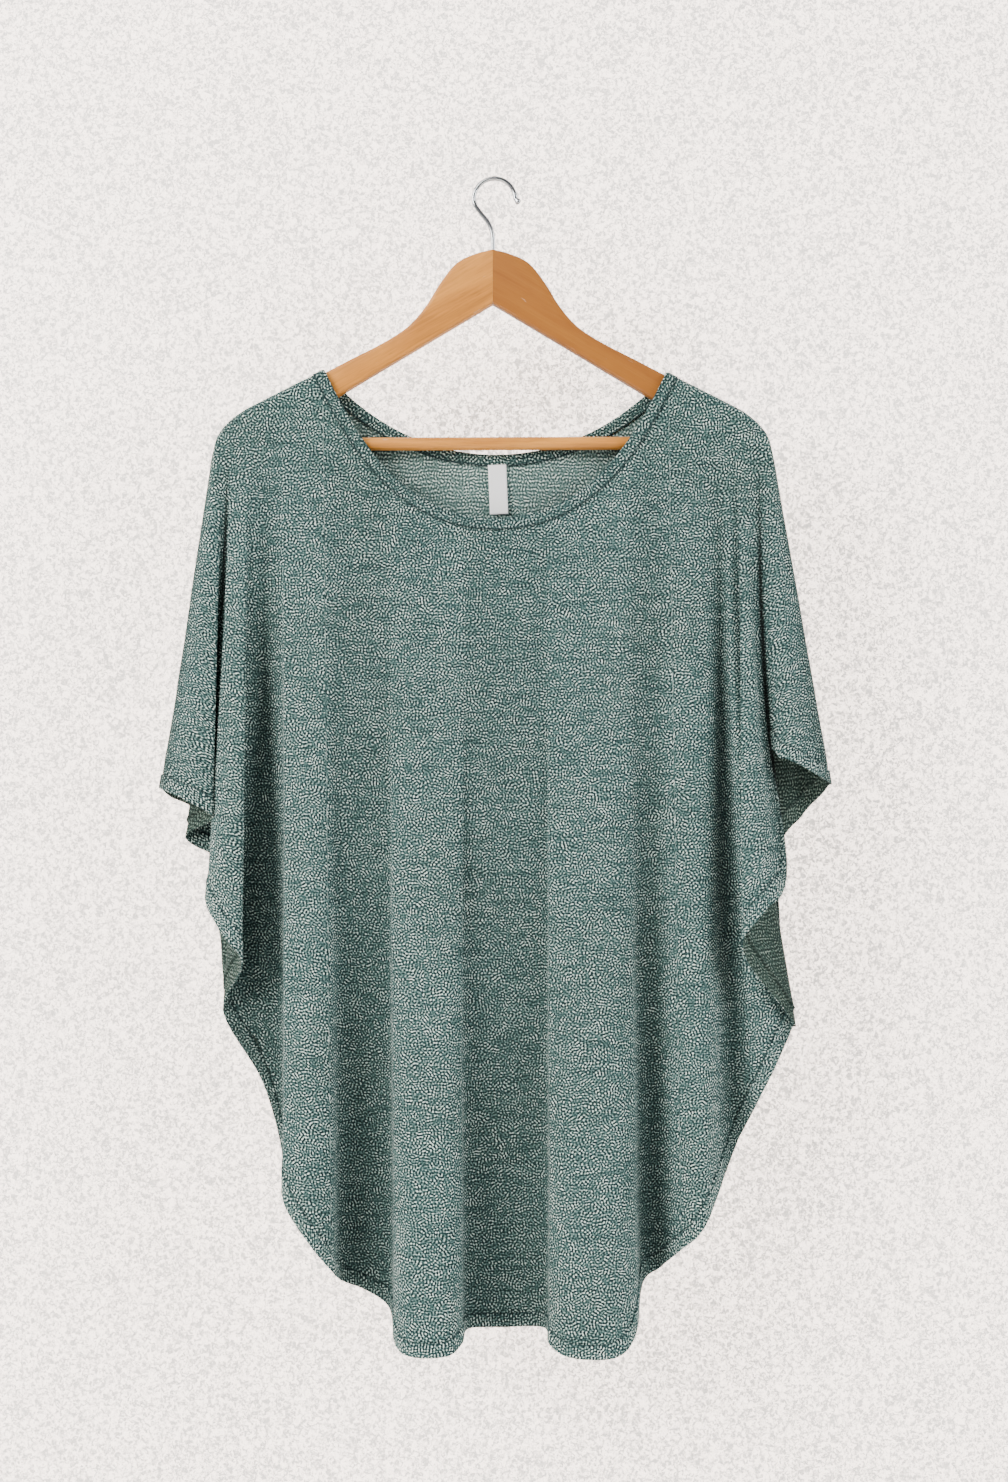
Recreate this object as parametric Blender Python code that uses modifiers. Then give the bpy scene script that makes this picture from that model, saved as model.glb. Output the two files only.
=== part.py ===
"""Kaftan top hung on a wooden hanger: front and back cut in one with batwing sleeves,
bound neck, blank neck label, two-part hanger with a round bar and a wire hook.

Metres, +Z up, +X to the right of someone who faces the front. The origin is the
inside top of the hook, where it rests on whatever holds it.
"""
import math

import bmesh
import bpy
from mathutils import Vector

# Cloth
CLOTH = 0.0012              # thickness of the knit
SEAM_GAP = 0.0003           # space left between pieces that are sewn or seated together
SEAM_FLAT = 0.0020          # each panel lies flat this far from the seam on top of the arm
HANG_DEPTH = 0.0090         # how far in front of (or behind) the arm's middle the cloth hangs
FOLD_START = 0.05           # share of a panel's length, from its top, before folds begin
FOLD_POWER = 1.4            # folds deepen with this power of the way down
COLUMNS_PER_FOLD = {"front": 2, "back": 3}
# how a panel rounds over the arm: drop below its top edge, share of the way out
OVER_ARM = [(0.0, 0.0), (0.0012, 0.55), (0.0030, 0.85), (0.0060, 1.0), (0.0180, 1.0)]
BODY_ROWS = 10              # rows of the wall below those
NECK_STEPS = 24             # points along each half of a neck edge

# Neck
HANGER_X = -0.0015          # the hook's rest is a little to one side of the joint
NECK_MIDDLE = 0.0007
NECK_HALF = 0.1465
FRONT_NECK_LOW = -0.2895
BACK_NECK_LOW = -0.2335
# how each half of a neck edge leaves its corner: inwards, share of its depth; then its pull at the bottom
FRONT_NECK_PULL = (0.0275, 0.45, 0.0810)
BACK_NECK_PULL = (0.0260, 0.43, 0.0700)
NECK_EDGE_STEP = 0.0005     # half the stretch of edge that gives its direction
NECK_SEARCH_STEPS = 400     # how finely a fold's width is searched for a drop below the seam
BINDING = 0.0007            # thickness of the strip that binds the neck
BINDING_WIDTH = 0.0085
BINDING_GAP = 0.0004        # space between the strip and the panel that it wraps
BINDING_TOP = 0.0016        # height of its fold above the panel's edge
BINDING_TURN = 0.0180       # it turns from the arm's slope to square on the edge over this drop
LABEL_SIZE = (0.0156, 0.0006, 0.0425)
LABEL_TOP = (0.0030, -0.2405)
LABEL_LEAN = math.radians(-2.4)

# Hanger
ARM_THICK = 0.0120
ARM_EDGE = 0.0030           # rounding along the arm's edges
BAR_RADIUS = 0.0055
BAR_HEIGHT = -0.2234
BAR_SOCKET_FACE = 0.1920    # distance from the joint to the face that the bar enters
BAR_SOCKET_DEPTH = 0.0140
SOCKET_CUT_LEAD = 0.0100    # the socket's cutter starts this far before that face
STEM_HOLE = 0.0600          # length of the stem hole's cutter, past the top of the joint
WIRE_RADIUS = 0.00185
HOOK_RADIUS = 0.0177
STEM_BOTTOM = -0.0850
# the hook's blunt tip beyond the end of its arc: across, up, share of the wire's thickness
TIP_STEPS = [(0.0012, -0.0014, 1.15), (0.0026, -0.0030, 1.45), (0.0034, -0.0039, 0.90)]

# the cloth over the arm and round its end: distance from the joint, height
SHOULDER_LINE = [
    (0.1300, -0.1550), (0.1443, -0.1628), (0.1698, -0.1753), (0.1960, -0.1886), (0.2125, -0.1975),
    (0.2245, -0.2072), (0.2325, -0.2180), (0.2378, -0.2358),
]
# one half of the arm's outline: distance from the joint, height
ARM_TOP = [
    (0.0, -0.0594), (0.0160, -0.0637), (0.0310, -0.0715), (0.0440, -0.0874), (0.0565, -0.1074),
    (0.0690, -0.1223), (0.0815, -0.1320), (0.0985, -0.1418), (0.1200, -0.1526), (0.1443, -0.1653),
    (0.1698, -0.1779), (0.1960, -0.1912), (0.2090, -0.1978),
]
ARM_END = [(0.2150, -0.2040), (0.2165, -0.2200), (0.2150, -0.2310), (0.2085, -0.2355)]
ARM_UNDERSIDE = [
    (0.1990, -0.2355), (0.1930, -0.2320), (0.1920, -0.2150), (0.1650, -0.1998), (0.1330, -0.1848),
    (0.0800, -0.1530), (0.0300, -0.1232), (0.0, -0.1054),
]

# Each row is a line of the cloth that runs from the top edge to the free edge: where it leaves
# the top edge, then where it meets the free edge, how far out of the hanger's plane it is there
# (minus is towards the front), the share of its length by which it is that far out, and how late
# it swings from its top x to its edge x (1 is straight).
FRONT_FOLDS = [
    # name, top_x, edge_x, edge_z, edge_y, full, flare
    ("overarm_left", -0.2393, -0.283, -0.516, -0.002, 1.0, 1.0),
    ("sleeve_face_left", -0.2350, -0.260, -0.525, -0.022, 1.0, 1.0),
    ("sleeve_turn_left", -0.2310, -0.237, -0.541, -0.018, 1.0, 1.0),
    ("sleeve_tuck_left", -0.2280, -0.262, -0.555, 0.001, 1.0, 1.8),
    ("sleeve_under_left", -0.2262, -0.259, -0.564, 0.008, 1.0, 1.8),
    ("underarm_left", -0.2240, -0.230, -0.581, 0.002, 1.0, 1.3),
    ("flap_side_left", -0.2205, -0.242, -0.609, -0.015, 1.0, 1.3),
    ("flap_face_left", -0.2145, -0.224, -0.639, -0.033, 1.0, 1.0),
    ("flap_turn_left", -0.2085, -0.211, -0.662, -0.031, 1.0, 1.0),
    ("flap_tuck_left", -0.2030, -0.231, -0.705, -0.002, 1.0, 1.8),
    ("side_seam_left", -0.1930, -0.198, -0.765, 0.004, 0.45, 1.0),
    ("ridge_foot_left", -0.1820, -0.179, -0.823, -0.004, 0.8, 1.0),
    ("ridge_side_left", -0.1760, -0.175, -0.859, -0.028, 1.0, 1.0),
    ("ridge_crest_left", -0.1610, -0.155, -0.891, -0.038, 1.0, 1.0),
    ("neck_point_left", -0.1458, -0.137, -0.917, -0.030, 1.0, 1.0),
    ("valley_side_left", -0.1340, -0.130, -0.932, -0.008, 0.9, 1.0),
    ("valley_left", -0.1130, -0.109, -0.942, -0.001, 0.8, 1.0),
    ("tube_foot_left", -0.0920, -0.087, -0.956, -0.007, 0.9, 1.0),
    ("tube_side_left", -0.0850, -0.082, -0.978, -0.030, 1.0, 1.0),
    ("tube_crest_left", -0.0710, -0.069, -0.984, -0.044, 1.0, 1.0),
    ("tube_face_left", -0.0430, -0.040, -0.984, -0.044, 1.0, 1.0),
    ("tube_far_left", -0.0290, -0.028, -0.978, -0.030, 1.0, 1.0),
    ("centre_foot_left", -0.0220, -0.023, -0.973, -0.007, 0.9, 1.0),
    ("centre_valley", 0.0090, 0.009, -0.974, 0.000, 0.8, 1.0),
    ("centre_foot_right", 0.0410, 0.043, -0.972, -0.007, 0.9, 1.0),
    ("tube_side_right", 0.0480, 0.047, -0.979, -0.030, 1.0, 1.0),
    ("tube_crest_right", 0.0610, 0.063, -0.985, -0.044, 1.0, 1.0),
    ("tube_face_right", 0.0970, 0.100, -0.985, -0.044, 1.0, 1.0),
    ("tube_far_right", 0.1090, 0.117, -0.969, -0.030, 1.0, 1.0),
    ("valley_side_right", 0.1170, 0.124, -0.934, -0.007, 0.9, 1.0),
    ("valley_right", 0.1310, 0.141, -0.923, -0.001, 0.8, 1.0),
    ("neck_point_right", 0.1472, 0.158, -0.903, -0.018, 1.0, 1.0),
    ("ridge_crest_right", 0.1640, 0.175, -0.882, -0.028, 1.0, 1.0),
    ("side_seam_right", 0.1860, 0.203, -0.825, 0.004, 0.45, 1.0),
    ("flap_low_right", 0.1960, 0.231, -0.765, -0.008, 0.9, 1.8),
    ("flap_under_right", 0.2005, 0.252, -0.722, 0.001, 1.0, 1.8),
    ("flap_tuck_right", 0.2030, 0.253, -0.713, -0.005, 1.0, 1.8),
    ("flap_turn_right", 0.2065, 0.208, -0.652, -0.031, 1.0, 1.0),
    ("flap_face_right", 0.2120, 0.224, -0.618, -0.033, 1.0, 1.5),
    ("flap_side_right", 0.2175, 0.2445, -0.590, -0.015, 1.0, 3.2),
    ("underarm_right", 0.2240, 0.2352, -0.4905, -0.0065, 1.0, 3.0),
    ("sleeve_turn_right", 0.2290, 0.2410, -0.4905, -0.0175, 1.0, 1.0),
    ("sleeve_hem_right", 0.2308, 0.2465, -0.492, -0.0218, 1.0, 1.0),
    ("sleeve_face_right", 0.2320, 0.256, -0.497, -0.022, 1.0, 1.0),
    ("overarm_right", 0.2363, 0.285, -0.513, -0.002, 1.0, 1.0),
]
BACK_FOLDS = [
    # name, top_x, edge_x, edge_z, edge_y, full, flare
    ("overarm_left", -0.2393, -0.283, -0.516, 0.002, 1.0, 1.0),
    ("sleeve_face_left", -0.2350, -0.279, -0.524, 0.018, 1.0, 1.0),
    ("sleeve_fold_left", -0.2300, -0.256, -0.540, 0.026, 1.0, 1.0),
    ("underarm_left", -0.2230, -0.2375, -0.590, 0.017, 1.0, 1.0),
    ("flap_face_left", -0.2140, -0.2380, -0.645, 0.024, 1.0, 1.8),
    ("flap_low_left", -0.2040, -0.229, -0.702, 0.014, 1.0, 1.0),
    ("side_seam_left", -0.1930, -0.198, -0.765, 0.0055, 0.45, 1.0),
    ("ridge_outer_left", -0.1680, -0.166, -0.852, 0.036, 1.0, 1.0),
    ("neck_point_left", -0.1458, -0.143, -0.894, 0.026, 1.0, 1.0),
    ("valley_outer_left", -0.1250, -0.122, -0.922, 0.015, 1.0, 1.0),
    ("ridge_left", -0.0850, -0.083, -0.948, 0.038, 1.0, 1.0),
    ("valley_left", -0.0450, -0.043, -0.960, 0.015, 1.0, 1.0),
    ("ridge_middle", 0.0020, 0.003, -0.965, 0.036, 1.0, 1.0),
    ("valley_right", 0.0480, 0.050, -0.960, 0.015, 1.0, 1.0),
    ("ridge_right", 0.0880, 0.092, -0.948, 0.038, 1.0, 1.0),
    ("valley_outer_right", 0.1270, 0.132, -0.916, 0.015, 1.0, 1.0),
    ("neck_point_right", 0.1472, 0.154, -0.895, 0.026, 1.0, 1.0),
    ("ridge_outer_right", 0.1660, 0.176, -0.872, 0.034, 1.0, 1.0),
    ("side_seam_right", 0.1860, 0.203, -0.825, 0.0055, 0.45, 1.0),
    ("flap_low_right", 0.1980, 0.242, -0.745, 0.012, 1.0, 1.0),
    ("flap_face_right", 0.2090, 0.2485, -0.680, 0.025, 1.0, 1.8),
    ("underarm_right", 0.2180, 0.2435, -0.575, 0.017, 1.0, 1.0),
    ("sleeve_fold_right", 0.2270, 0.265, -0.541, 0.024, 1.0, 1.0),
    ("sleeve_face_right", 0.2320, 0.281, -0.522, 0.017, 1.0, 1.0),
    ("overarm_right", 0.2363, 0.285, -0.513, 0.002, 1.0, 1.0),
]
FRONT, BACK = -1.0, 1.0

# Colours: base colour, roughness, metallic
FINISHES = {
    "knit": ((0.150, 0.255, 0.230, 1.0), 0.92, 0.0),
    "binding": ((0.135, 0.235, 0.212, 1.0), 0.90, 0.0),
    "label": ((0.86, 0.86, 0.84, 1.0), 0.60, 0.0),
    "wood": ((0.52, 0.25, 0.085, 1.0), 0.38, 0.0),
    "bar_wood": ((0.60, 0.31, 0.11, 1.0), 0.42, 0.0),
    "chrome": ((0.62, 0.62, 0.63, 1.0), 0.18, 1.0),
}


def clear_scene():
    for thing in list(bpy.data.objects):
        bpy.data.objects.remove(thing, do_unlink=True)


def finish(name):
    material = bpy.data.materials.new(name)
    material.use_nodes = True
    colour, roughness, metallic = FINISHES[name]
    shader = material.node_tree.nodes["Principled BSDF"]
    shader.inputs["Base Color"].default_value = colour
    shader.inputs["Roughness"].default_value = roughness
    shader.inputs["Metallic"].default_value = metallic
    return material


def add_piece(name, mesh, material, collection):
    piece = bpy.data.objects.new(name, mesh)
    piece.data.materials.append(material)
    collection.objects.link(piece)
    return piece


def add_wall(piece, thickness):
    """Give an open sheet its thickness, half to each side."""
    wall = piece.modifiers.new("wall", "SOLIDIFY")
    wall.thickness = thickness
    wall.offset = 0.0


def catmull_rom(before, start, end, after, t):
    """A point at t on the smooth curve from start to end."""
    a = 2.0 * start
    b = end - before
    c = 2.0 * before - 5.0 * start + 4.0 * end - after
    d = 3.0 * (start - end) + after - before
    return 0.5 * (a + (b + (c + d * t) * t) * t)


def smooth_line(points, steps):
    """Points on a smooth curve through the given ones, a number of steps between each pair."""
    knots = [Vector(p) for p in points]
    knots = [2.0 * knots[0] - knots[1]] + knots + [2.0 * knots[-1] - knots[-2]]
    line = []
    for i in range(1, len(knots) - 2):
        for k in range(steps):
            line.append(catmull_rom(knots[i - 1], knots[i], knots[i + 1], knots[i + 2], k / steps))
    return line + [knots[-2]]


def height_on(line, x):
    """The height of a line of (x, z) points at x, where x grows along the line."""
    for (x0, z0), (x1, z1) in zip(line, line[1:]):
        if x0 <= x <= x1:
            return z0 + (z1 - z0) * (x - x0) / max(x1 - x0, 1e-9)
    return line[0][1] if x < line[0][0] else line[-1][1]


def bezier(p0, p1, p2, p3, t):
    s = 1.0 - t
    return p0 * s ** 3 + p1 * (3 * s * s * t) + p2 * (3 * s * t * t) + p3 * t ** 3


def neck_line(side):
    """One panel's neck edge from left to right as (x, z) points."""
    low = FRONT_NECK_LOW if side == FRONT else BACK_NECK_LOW
    inwards, share, pull = FRONT_NECK_PULL if side == FRONT else BACK_NECK_PULL
    halves = []
    for hand in (-1.0, 1.0):
        corner_x = NECK_MIDDLE + hand * NECK_HALF
        corner = Vector((corner_x, shoulder_height(corner_x)))
        upper = corner + Vector((-hand * inwards, -share * (corner.y - low)))
        lower = Vector((NECK_MIDDLE + hand * pull, low))
        middle = Vector((NECK_MIDDLE, low))
        halves.append([bezier(corner, upper, lower, middle, k / NECK_STEPS) for k in range(NECK_STEPS + 1)])
    return [tuple(p) for p in halves[0]] + [tuple(p) for p in reversed(halves[1][:-1])]


def shoulder_height(x):
    return height_on(SHOULDER, abs(x - HANGER_X))


def over_arm(drop):
    """Share of the way out from the seam on top of the arm at a drop below it."""
    return height_on(OVER_ARM, drop)


def lines_of_cloth(folds, side):
    """Smooth columns between the table's rows: one dictionary for each column."""
    keys = ("top_x", "edge_x", "edge_z", "edge_y", "full", "flare", "top_y")
    top_out = [side * (SEAM_FLAT if "overarm" in row[0] else HANG_DEPTH) for row in folds]
    rows = [list(row[1:]) + [out] for row, out in zip(folds, top_out)]
    mirror = (1.0, 1.0, 1.0, -1.0, 1.0, 1.0, -1.0)
    before, after = ([v * m for v, m in zip(row, mirror)] for row in (rows[1], rows[-2]))
    knots = [before] + rows + [after]
    per_fold = COLUMNS_PER_FOLD["front" if side == FRONT else "back"]
    places = []
    for i in range(1, len(knots) - 2):
        steps = [k / per_fold for k in range(per_fold)]
        if folds[i - 1][0] == "neck_point_left":
            steps += neck_corner_steps([knots[i + k][0] for k in (-1, 0, 1, 2)], side)
        if folds[i][0] == "neck_point_right":
            steps += neck_corner_steps([knots[i + k][0] for k in (-1, 0, 1, 2)], side)
        places += [(i, t) for t in sorted(steps)]
    places.append((len(knots) - 3, 1.0))
    columns = []
    for i, t in places:
        values = [catmull_rom(*(knots[i + k][n] for k in (-1, 0, 1, 2)), t) for n in range(len(keys))]
        columns.append(dict(zip(keys, values)))
    return columns


def neck_corner_steps(tops, side):
    """Where the neck edge is as far below the seam as each row of the rounding over the arm."""
    neck = neck_line(side)
    steps = []
    for drop, _ in OVER_ARM[1:-1]:
        fits = []
        for k in range(1, NECK_SEARCH_STEPS):
            x = catmull_rom(*tops, k / NECK_SEARCH_STEPS)
            fits.append((abs(shoulder_height(x) - height_on(neck, x) - drop), k / NECK_SEARCH_STEPS))
        steps.append(min(fits)[1])
    return steps


def cloth_point(column, drop, length, side, neck):
    """A point of a panel at a drop below the top edge, along one column."""
    down = drop / length
    start_y = side * SEAM_FLAT
    in_neck = abs(column["top_x"] - NECK_MIDDLE) < NECK_HALF
    rounded = over_arm(drop)
    if in_neck:
        below_seam = shoulder_height(column["top_x"]) - height_on(neck, column["top_x"])
        rounded = max(rounded, over_arm(below_seam + drop))
    hang_y = start_y + (column["top_y"] - start_y) * rounded
    grown = min(max((down - FOLD_START) / (column["full"] - FOLD_START), 0.0), 1.0) ** FOLD_POWER
    x = column["top_x"] + (column["edge_x"] - column["top_x"]) * down ** column["flare"]
    y = hang_y + (column["edge_y"] - column["top_y"]) * grown
    z = column["top_z"] - drop
    return Vector((x, y, z))


def panel_grid(folds, side):
    """The panel's points, column by column, from its top edge to its free edge."""
    neck = neck_line(side)
    grid = []
    for column in lines_of_cloth(folds, side):
        in_neck = abs(column["top_x"] - NECK_MIDDLE) < NECK_HALF
        top = height_on(neck, column["top_x"]) if in_neck else shoulder_height(column["top_x"])
        column["top_z"] = top
        length = top - column["edge_z"]
        drops = [drop for drop, _ in OVER_ARM]
        last = drops[-1]
        drops += [last + (length - last) * (k + 1) / BODY_ROWS for k in range(BODY_ROWS)]
        grid.append([cloth_point(column, drop, length, side, neck) for drop in drops])
    return grid


def build_panel(name, grid, side, material, collection):
    """A sheet from the grid, with a flat strip to the seam, then its thickness."""
    columns, rows = len(grid), len(grid[0])
    bm = bmesh.new()
    bmesh.ops.create_grid(bm, x_segments=columns - 1, y_segments=rows - 1, size=1.0)
    bm.verts.ensure_lookup_table()
    for index, vertex in enumerate(bm.verts):
        column, row = index % columns, index // columns
        vertex.co = grid[column][row]
    seam_edges = [e for e in bm.edges if e.is_boundary and on_seam(e)]
    made = bmesh.ops.extrude_edge_only(bm, edges=seam_edges)
    for vertex in [g for g in made["geom"] if isinstance(g, bmesh.types.BMVert)]:
        vertex.co.y = side * SEAM_GAP / 2
    bmesh.ops.recalc_face_normals(bm, faces=bm.faces)
    if side * sum(f.normal.y * f.calc_area() for f in bm.faces) < 0.0:
        bmesh.ops.reverse_faces(bm, faces=bm.faces)
    mesh = bpy.data.meshes.new(name)
    bm.to_mesh(mesh)
    bm.free()
    mesh.shade_smooth()
    piece = add_piece(name, mesh, material, collection)
    add_wall(piece, CLOTH)
    return piece


def on_seam(edge):
    """True for an edge on the line where the two panels are sewn over the arm and sleeve."""
    return all(abs(abs(v.co.y) - SEAM_FLAT) < 1e-6 for v in edge.verts)


def neck_stations(grid, side):
    """The panel's neck edge points and the way into the panel at each."""
    neck = neck_line(side)
    edge = [column[0] for column in grid if abs(column[0].x - NECK_MIDDLE) < NECK_HALF + 1e-5]
    stations = []
    for point in edge:
        left = max(point.x - NECK_EDGE_STEP, neck[0][0])
        right = min(point.x + NECK_EDGE_STEP, neck[-1][0])
        along = Vector((right - left, 0.0, height_on(neck, right) - height_on(neck, left)))
        across = Vector((along.z, 0.0, -along.x)).normalized()
        hand = math.copysign(1.0, point.x - NECK_MIDDLE)
        outer = point.x + hand * BINDING_WIDTH
        rise = shoulder_height(outer) - shoulder_height(point.x)
        down_arm = Vector((outer - point.x, 0.0, rise)).normalized()
        below_seam = shoulder_height(point.x) - point.z
        free = min(max((below_seam - OVER_ARM[-2][0]) / BINDING_TURN, 0.0), 1.0)
        stations.append((point, down_arm.lerp(across, free).normalized()))
    return stations


def build_binding(front_grid, back_grid, material, collection):
    """A strip folded over the neck edge all round, just clear of both panels."""
    stations = neck_stations(front_grid, FRONT) + neck_stations(back_grid, BACK)[::-1]
    reach = CLOTH / 2 + BINDING_GAP + BINDING / 2
    count = len(stations)
    rings = []
    for i, (point, into) in enumerate(stations):
        along = stations[(i + 1) % count][0] - stations[i - 1][0]
        out = into.cross(along).normalized()
        profile = [into * BINDING_WIDTH + out * reach, out * reach, into * -BINDING_TOP]
        profile += [out * -reach, into * BINDING_WIDTH - out * reach]
        rings.append([point + offset for offset in profile])
    bm = bmesh.new()
    loops = [[bm.verts.new(p) for p in ring] for ring in rings]
    for i in range(count):
        here, there = loops[i], loops[(i + 1) % count]
        for k in range(len(here) - 1):
            bm.faces.new((here[k], there[k], there[k + 1], here[k + 1]))
    bmesh.ops.recalc_face_normals(bm, faces=bm.faces)
    mesh = bpy.data.meshes.new("neckband")
    bm.to_mesh(mesh)
    bm.free()
    mesh.shade_smooth()
    piece = add_piece("neckband", mesh, material, collection)
    add_wall(piece, BINDING)
    return piece


def build_label(material, collection):
    bm = bmesh.new()
    bmesh.ops.create_cube(bm, size=1.0)
    bmesh.ops.scale(bm, vec=LABEL_SIZE, verts=bm.verts)
    mesh = bpy.data.meshes.new("label")
    bm.to_mesh(mesh)
    bm.free()
    piece = add_piece("label", mesh, material, collection)
    inner_face = HANG_DEPTH - CLOTH / 2 - BINDING_GAP - BINDING
    x, top = LABEL_TOP
    piece.location = (x, inner_face - SEAM_GAP - LABEL_SIZE[1] / 2, top - LABEL_SIZE[2] / 2)
    piece.rotation_euler = (0.0, LABEL_LEAN, 0.0)
    return piece


def arm_outline(hand):
    """One arm's outline in the hanger's plane, from the joint's top round to its foot."""
    top = smooth_line([Vector(p) for p in ARM_TOP], 2)
    line = top + [Vector(p) for p in ARM_END] + [Vector(p) for p in ARM_UNDERSIDE]
    half_joint = SEAM_GAP / 2
    return [(HANGER_X + hand * max(p.x, half_joint), p.y) for p in line]


def build_arm(name, hand, cutters, material, collection):
    bm = bmesh.new()
    outline = [bm.verts.new((x, -ARM_THICK / 2, z)) for x, z in arm_outline(hand)]
    face = bm.faces.new(outline)
    made = bmesh.ops.extrude_face_region(bm, geom=[face])
    moved = [g for g in made["geom"] if isinstance(g, bmesh.types.BMVert)]
    bmesh.ops.translate(bm, vec=(0.0, ARM_THICK, 0.0), verts=moved)
    bmesh.ops.recalc_face_normals(bm, faces=bm.faces)
    mesh = bpy.data.meshes.new(name)
    bm.to_mesh(mesh)
    bm.free()
    piece = add_piece(name, mesh, material, collection)
    rounding = piece.modifiers.new("edges", "BEVEL")
    rounding.width = ARM_EDGE
    rounding.segments = 2
    rounding.limit_method = "ANGLE"
    rounding.angle_limit = math.radians(50.0)
    for cutter in cutters:
        hole = piece.modifiers.new(cutter.name, "BOOLEAN")
        hole.operation = "DIFFERENCE"
        hole.object = cutter
    return piece


def add_cutter(name, radius, length, middle, turn, collection):
    bm = bmesh.new()
    bmesh.ops.create_cone(bm, cap_ends=True, segments=24, radius1=radius, radius2=radius, depth=length)
    mesh = bpy.data.meshes.new(name)
    bm.to_mesh(mesh)
    bm.free()
    cutter = bpy.data.objects.new(name, mesh)
    cutter.location = middle
    cutter.rotation_euler = turn
    cutter.hide_render = True
    cutter.display_type = "WIRE"
    collection.objects.link(cutter)
    return cutter


def build_hanger(collection, cutter_collection):
    wood = finish("wood")
    along_x = (0.0, math.pi / 2, 0.0)
    upright = (0.0, 0.0, 0.0)
    stem_middle = (HANGER_X, 0.0, STEM_BOTTOM - SEAM_GAP + STEM_HOLE / 2)
    stem_hole = add_cutter("stem_hole", WIRE_RADIUS + SEAM_GAP, STEM_HOLE, stem_middle, upright,
                           cutter_collection)
    for name, hand in (("hanger_arm_left", -1.0), ("hanger_arm_right", 1.0)):
        inside = BAR_SOCKET_FACE - SOCKET_CUT_LEAD
        outside = BAR_SOCKET_FACE + BAR_SOCKET_DEPTH
        middle = (HANGER_X + hand * (inside + outside) / 2, 0.0, BAR_HEIGHT)
        socket = add_cutter(name + "_socket", BAR_RADIUS + SEAM_GAP, outside - inside,
                            middle, along_x, cutter_collection)
        build_arm(name, hand, [stem_hole, socket], wood, collection)
    bar_half = BAR_SOCKET_FACE + BAR_SOCKET_DEPTH - SEAM_GAP
    bm = bmesh.new()
    bmesh.ops.create_cone(bm, cap_ends=True, segments=24, radius1=BAR_RADIUS, radius2=BAR_RADIUS,
                          depth=2.0 * bar_half)
    mesh = bpy.data.meshes.new("trouser_bar")
    bm.to_mesh(mesh)
    bm.free()
    mesh.shade_smooth()
    bar = add_piece("trouser_bar", mesh, finish("bar_wood"), collection)
    bar.location = (HANGER_X, 0.0, BAR_HEIGHT)
    bar.rotation_euler = along_x


def build_hook(collection):
    """Wire from inside the wood, bent aside and round to a blunt tip."""
    middle_z = WIRE_RADIUS - HOOK_RADIUS
    bend = [
        (HANGER_X, STEM_BOTTOM), (HANGER_X, -0.0660), (HANGER_X + 0.0002, -0.0540),
        (HANGER_X - 0.0004, -0.0450), (-0.0052, -0.0360), (-0.0115, -0.0280), (-0.0162, -0.0215),
    ]
    line = smooth_line(bend, 2)
    first, last = math.radians(186.0), math.radians(2.0)
    for k in range(17):
        angle = first + (last - first) * k / 16
        line.append(Vector((HOOK_RADIUS * math.cos(angle), middle_z + HOOK_RADIUS * math.sin(angle))))
    end = line[-1]
    thickness = [1.0] * len(line)
    for x, z, size in TIP_STEPS:
        line.append(end + Vector((x, z)))
        thickness.append(size)
    curve = bpy.data.curves.new("hanger_hook", "CURVE")
    curve.dimensions = "3D"
    curve.bevel_depth = WIRE_RADIUS
    curve.bevel_resolution = 2
    curve.use_fill_caps = True
    spline = curve.splines.new("POLY")
    spline.points.add(len(line) - 1)
    for point, place, size in zip(spline.points, line, thickness):
        point.co = (place.x, 0.0, place.y, 1.0)
        point.radius = size
    hook = bpy.data.objects.new("hanger_hook", curve)
    curve.materials.append(finish("chrome"))
    collection.objects.link(hook)


SHOULDER = [tuple(p) for p in smooth_line(SHOULDER_LINE, 4)]


def main():
    clear_scene()
    collection = bpy.data.collections.new("kaftan_top")
    cutter_collection = bpy.data.collections.new("kaftan_top_cutters")
    for made in (collection, cutter_collection):
        bpy.context.scene.collection.children.link(made)
    knit = finish("knit")
    front_grid = panel_grid(FRONT_FOLDS, FRONT)
    back_grid = panel_grid(BACK_FOLDS, BACK)
    build_panel("front", front_grid, FRONT, knit, collection)
    build_panel("back", back_grid, BACK, knit, collection)
    build_binding(front_grid, back_grid, finish("binding"), collection)
    build_label(finish("label"), collection)
    build_hanger(collection, cutter_collection)
    build_hook(collection)


main()
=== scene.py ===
import math

import bmesh
import bpy
import numpy as np
from mathutils import Matrix, Vector, noise


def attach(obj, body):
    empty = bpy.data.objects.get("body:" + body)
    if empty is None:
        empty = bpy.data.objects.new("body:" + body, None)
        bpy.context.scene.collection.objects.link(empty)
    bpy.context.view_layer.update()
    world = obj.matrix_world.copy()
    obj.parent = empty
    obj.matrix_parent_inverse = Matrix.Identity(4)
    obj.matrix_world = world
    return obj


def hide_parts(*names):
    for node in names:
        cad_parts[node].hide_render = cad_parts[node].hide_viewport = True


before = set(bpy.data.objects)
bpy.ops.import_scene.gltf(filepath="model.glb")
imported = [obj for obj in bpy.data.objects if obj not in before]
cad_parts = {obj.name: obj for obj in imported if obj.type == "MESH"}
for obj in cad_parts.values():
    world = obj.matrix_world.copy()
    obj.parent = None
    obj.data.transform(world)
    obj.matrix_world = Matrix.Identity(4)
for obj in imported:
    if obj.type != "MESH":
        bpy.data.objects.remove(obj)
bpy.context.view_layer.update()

# Kaftan top on a wooden hanger. Metres, +Z up, the front faces -Y, the hook's rest is the origin.

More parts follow.
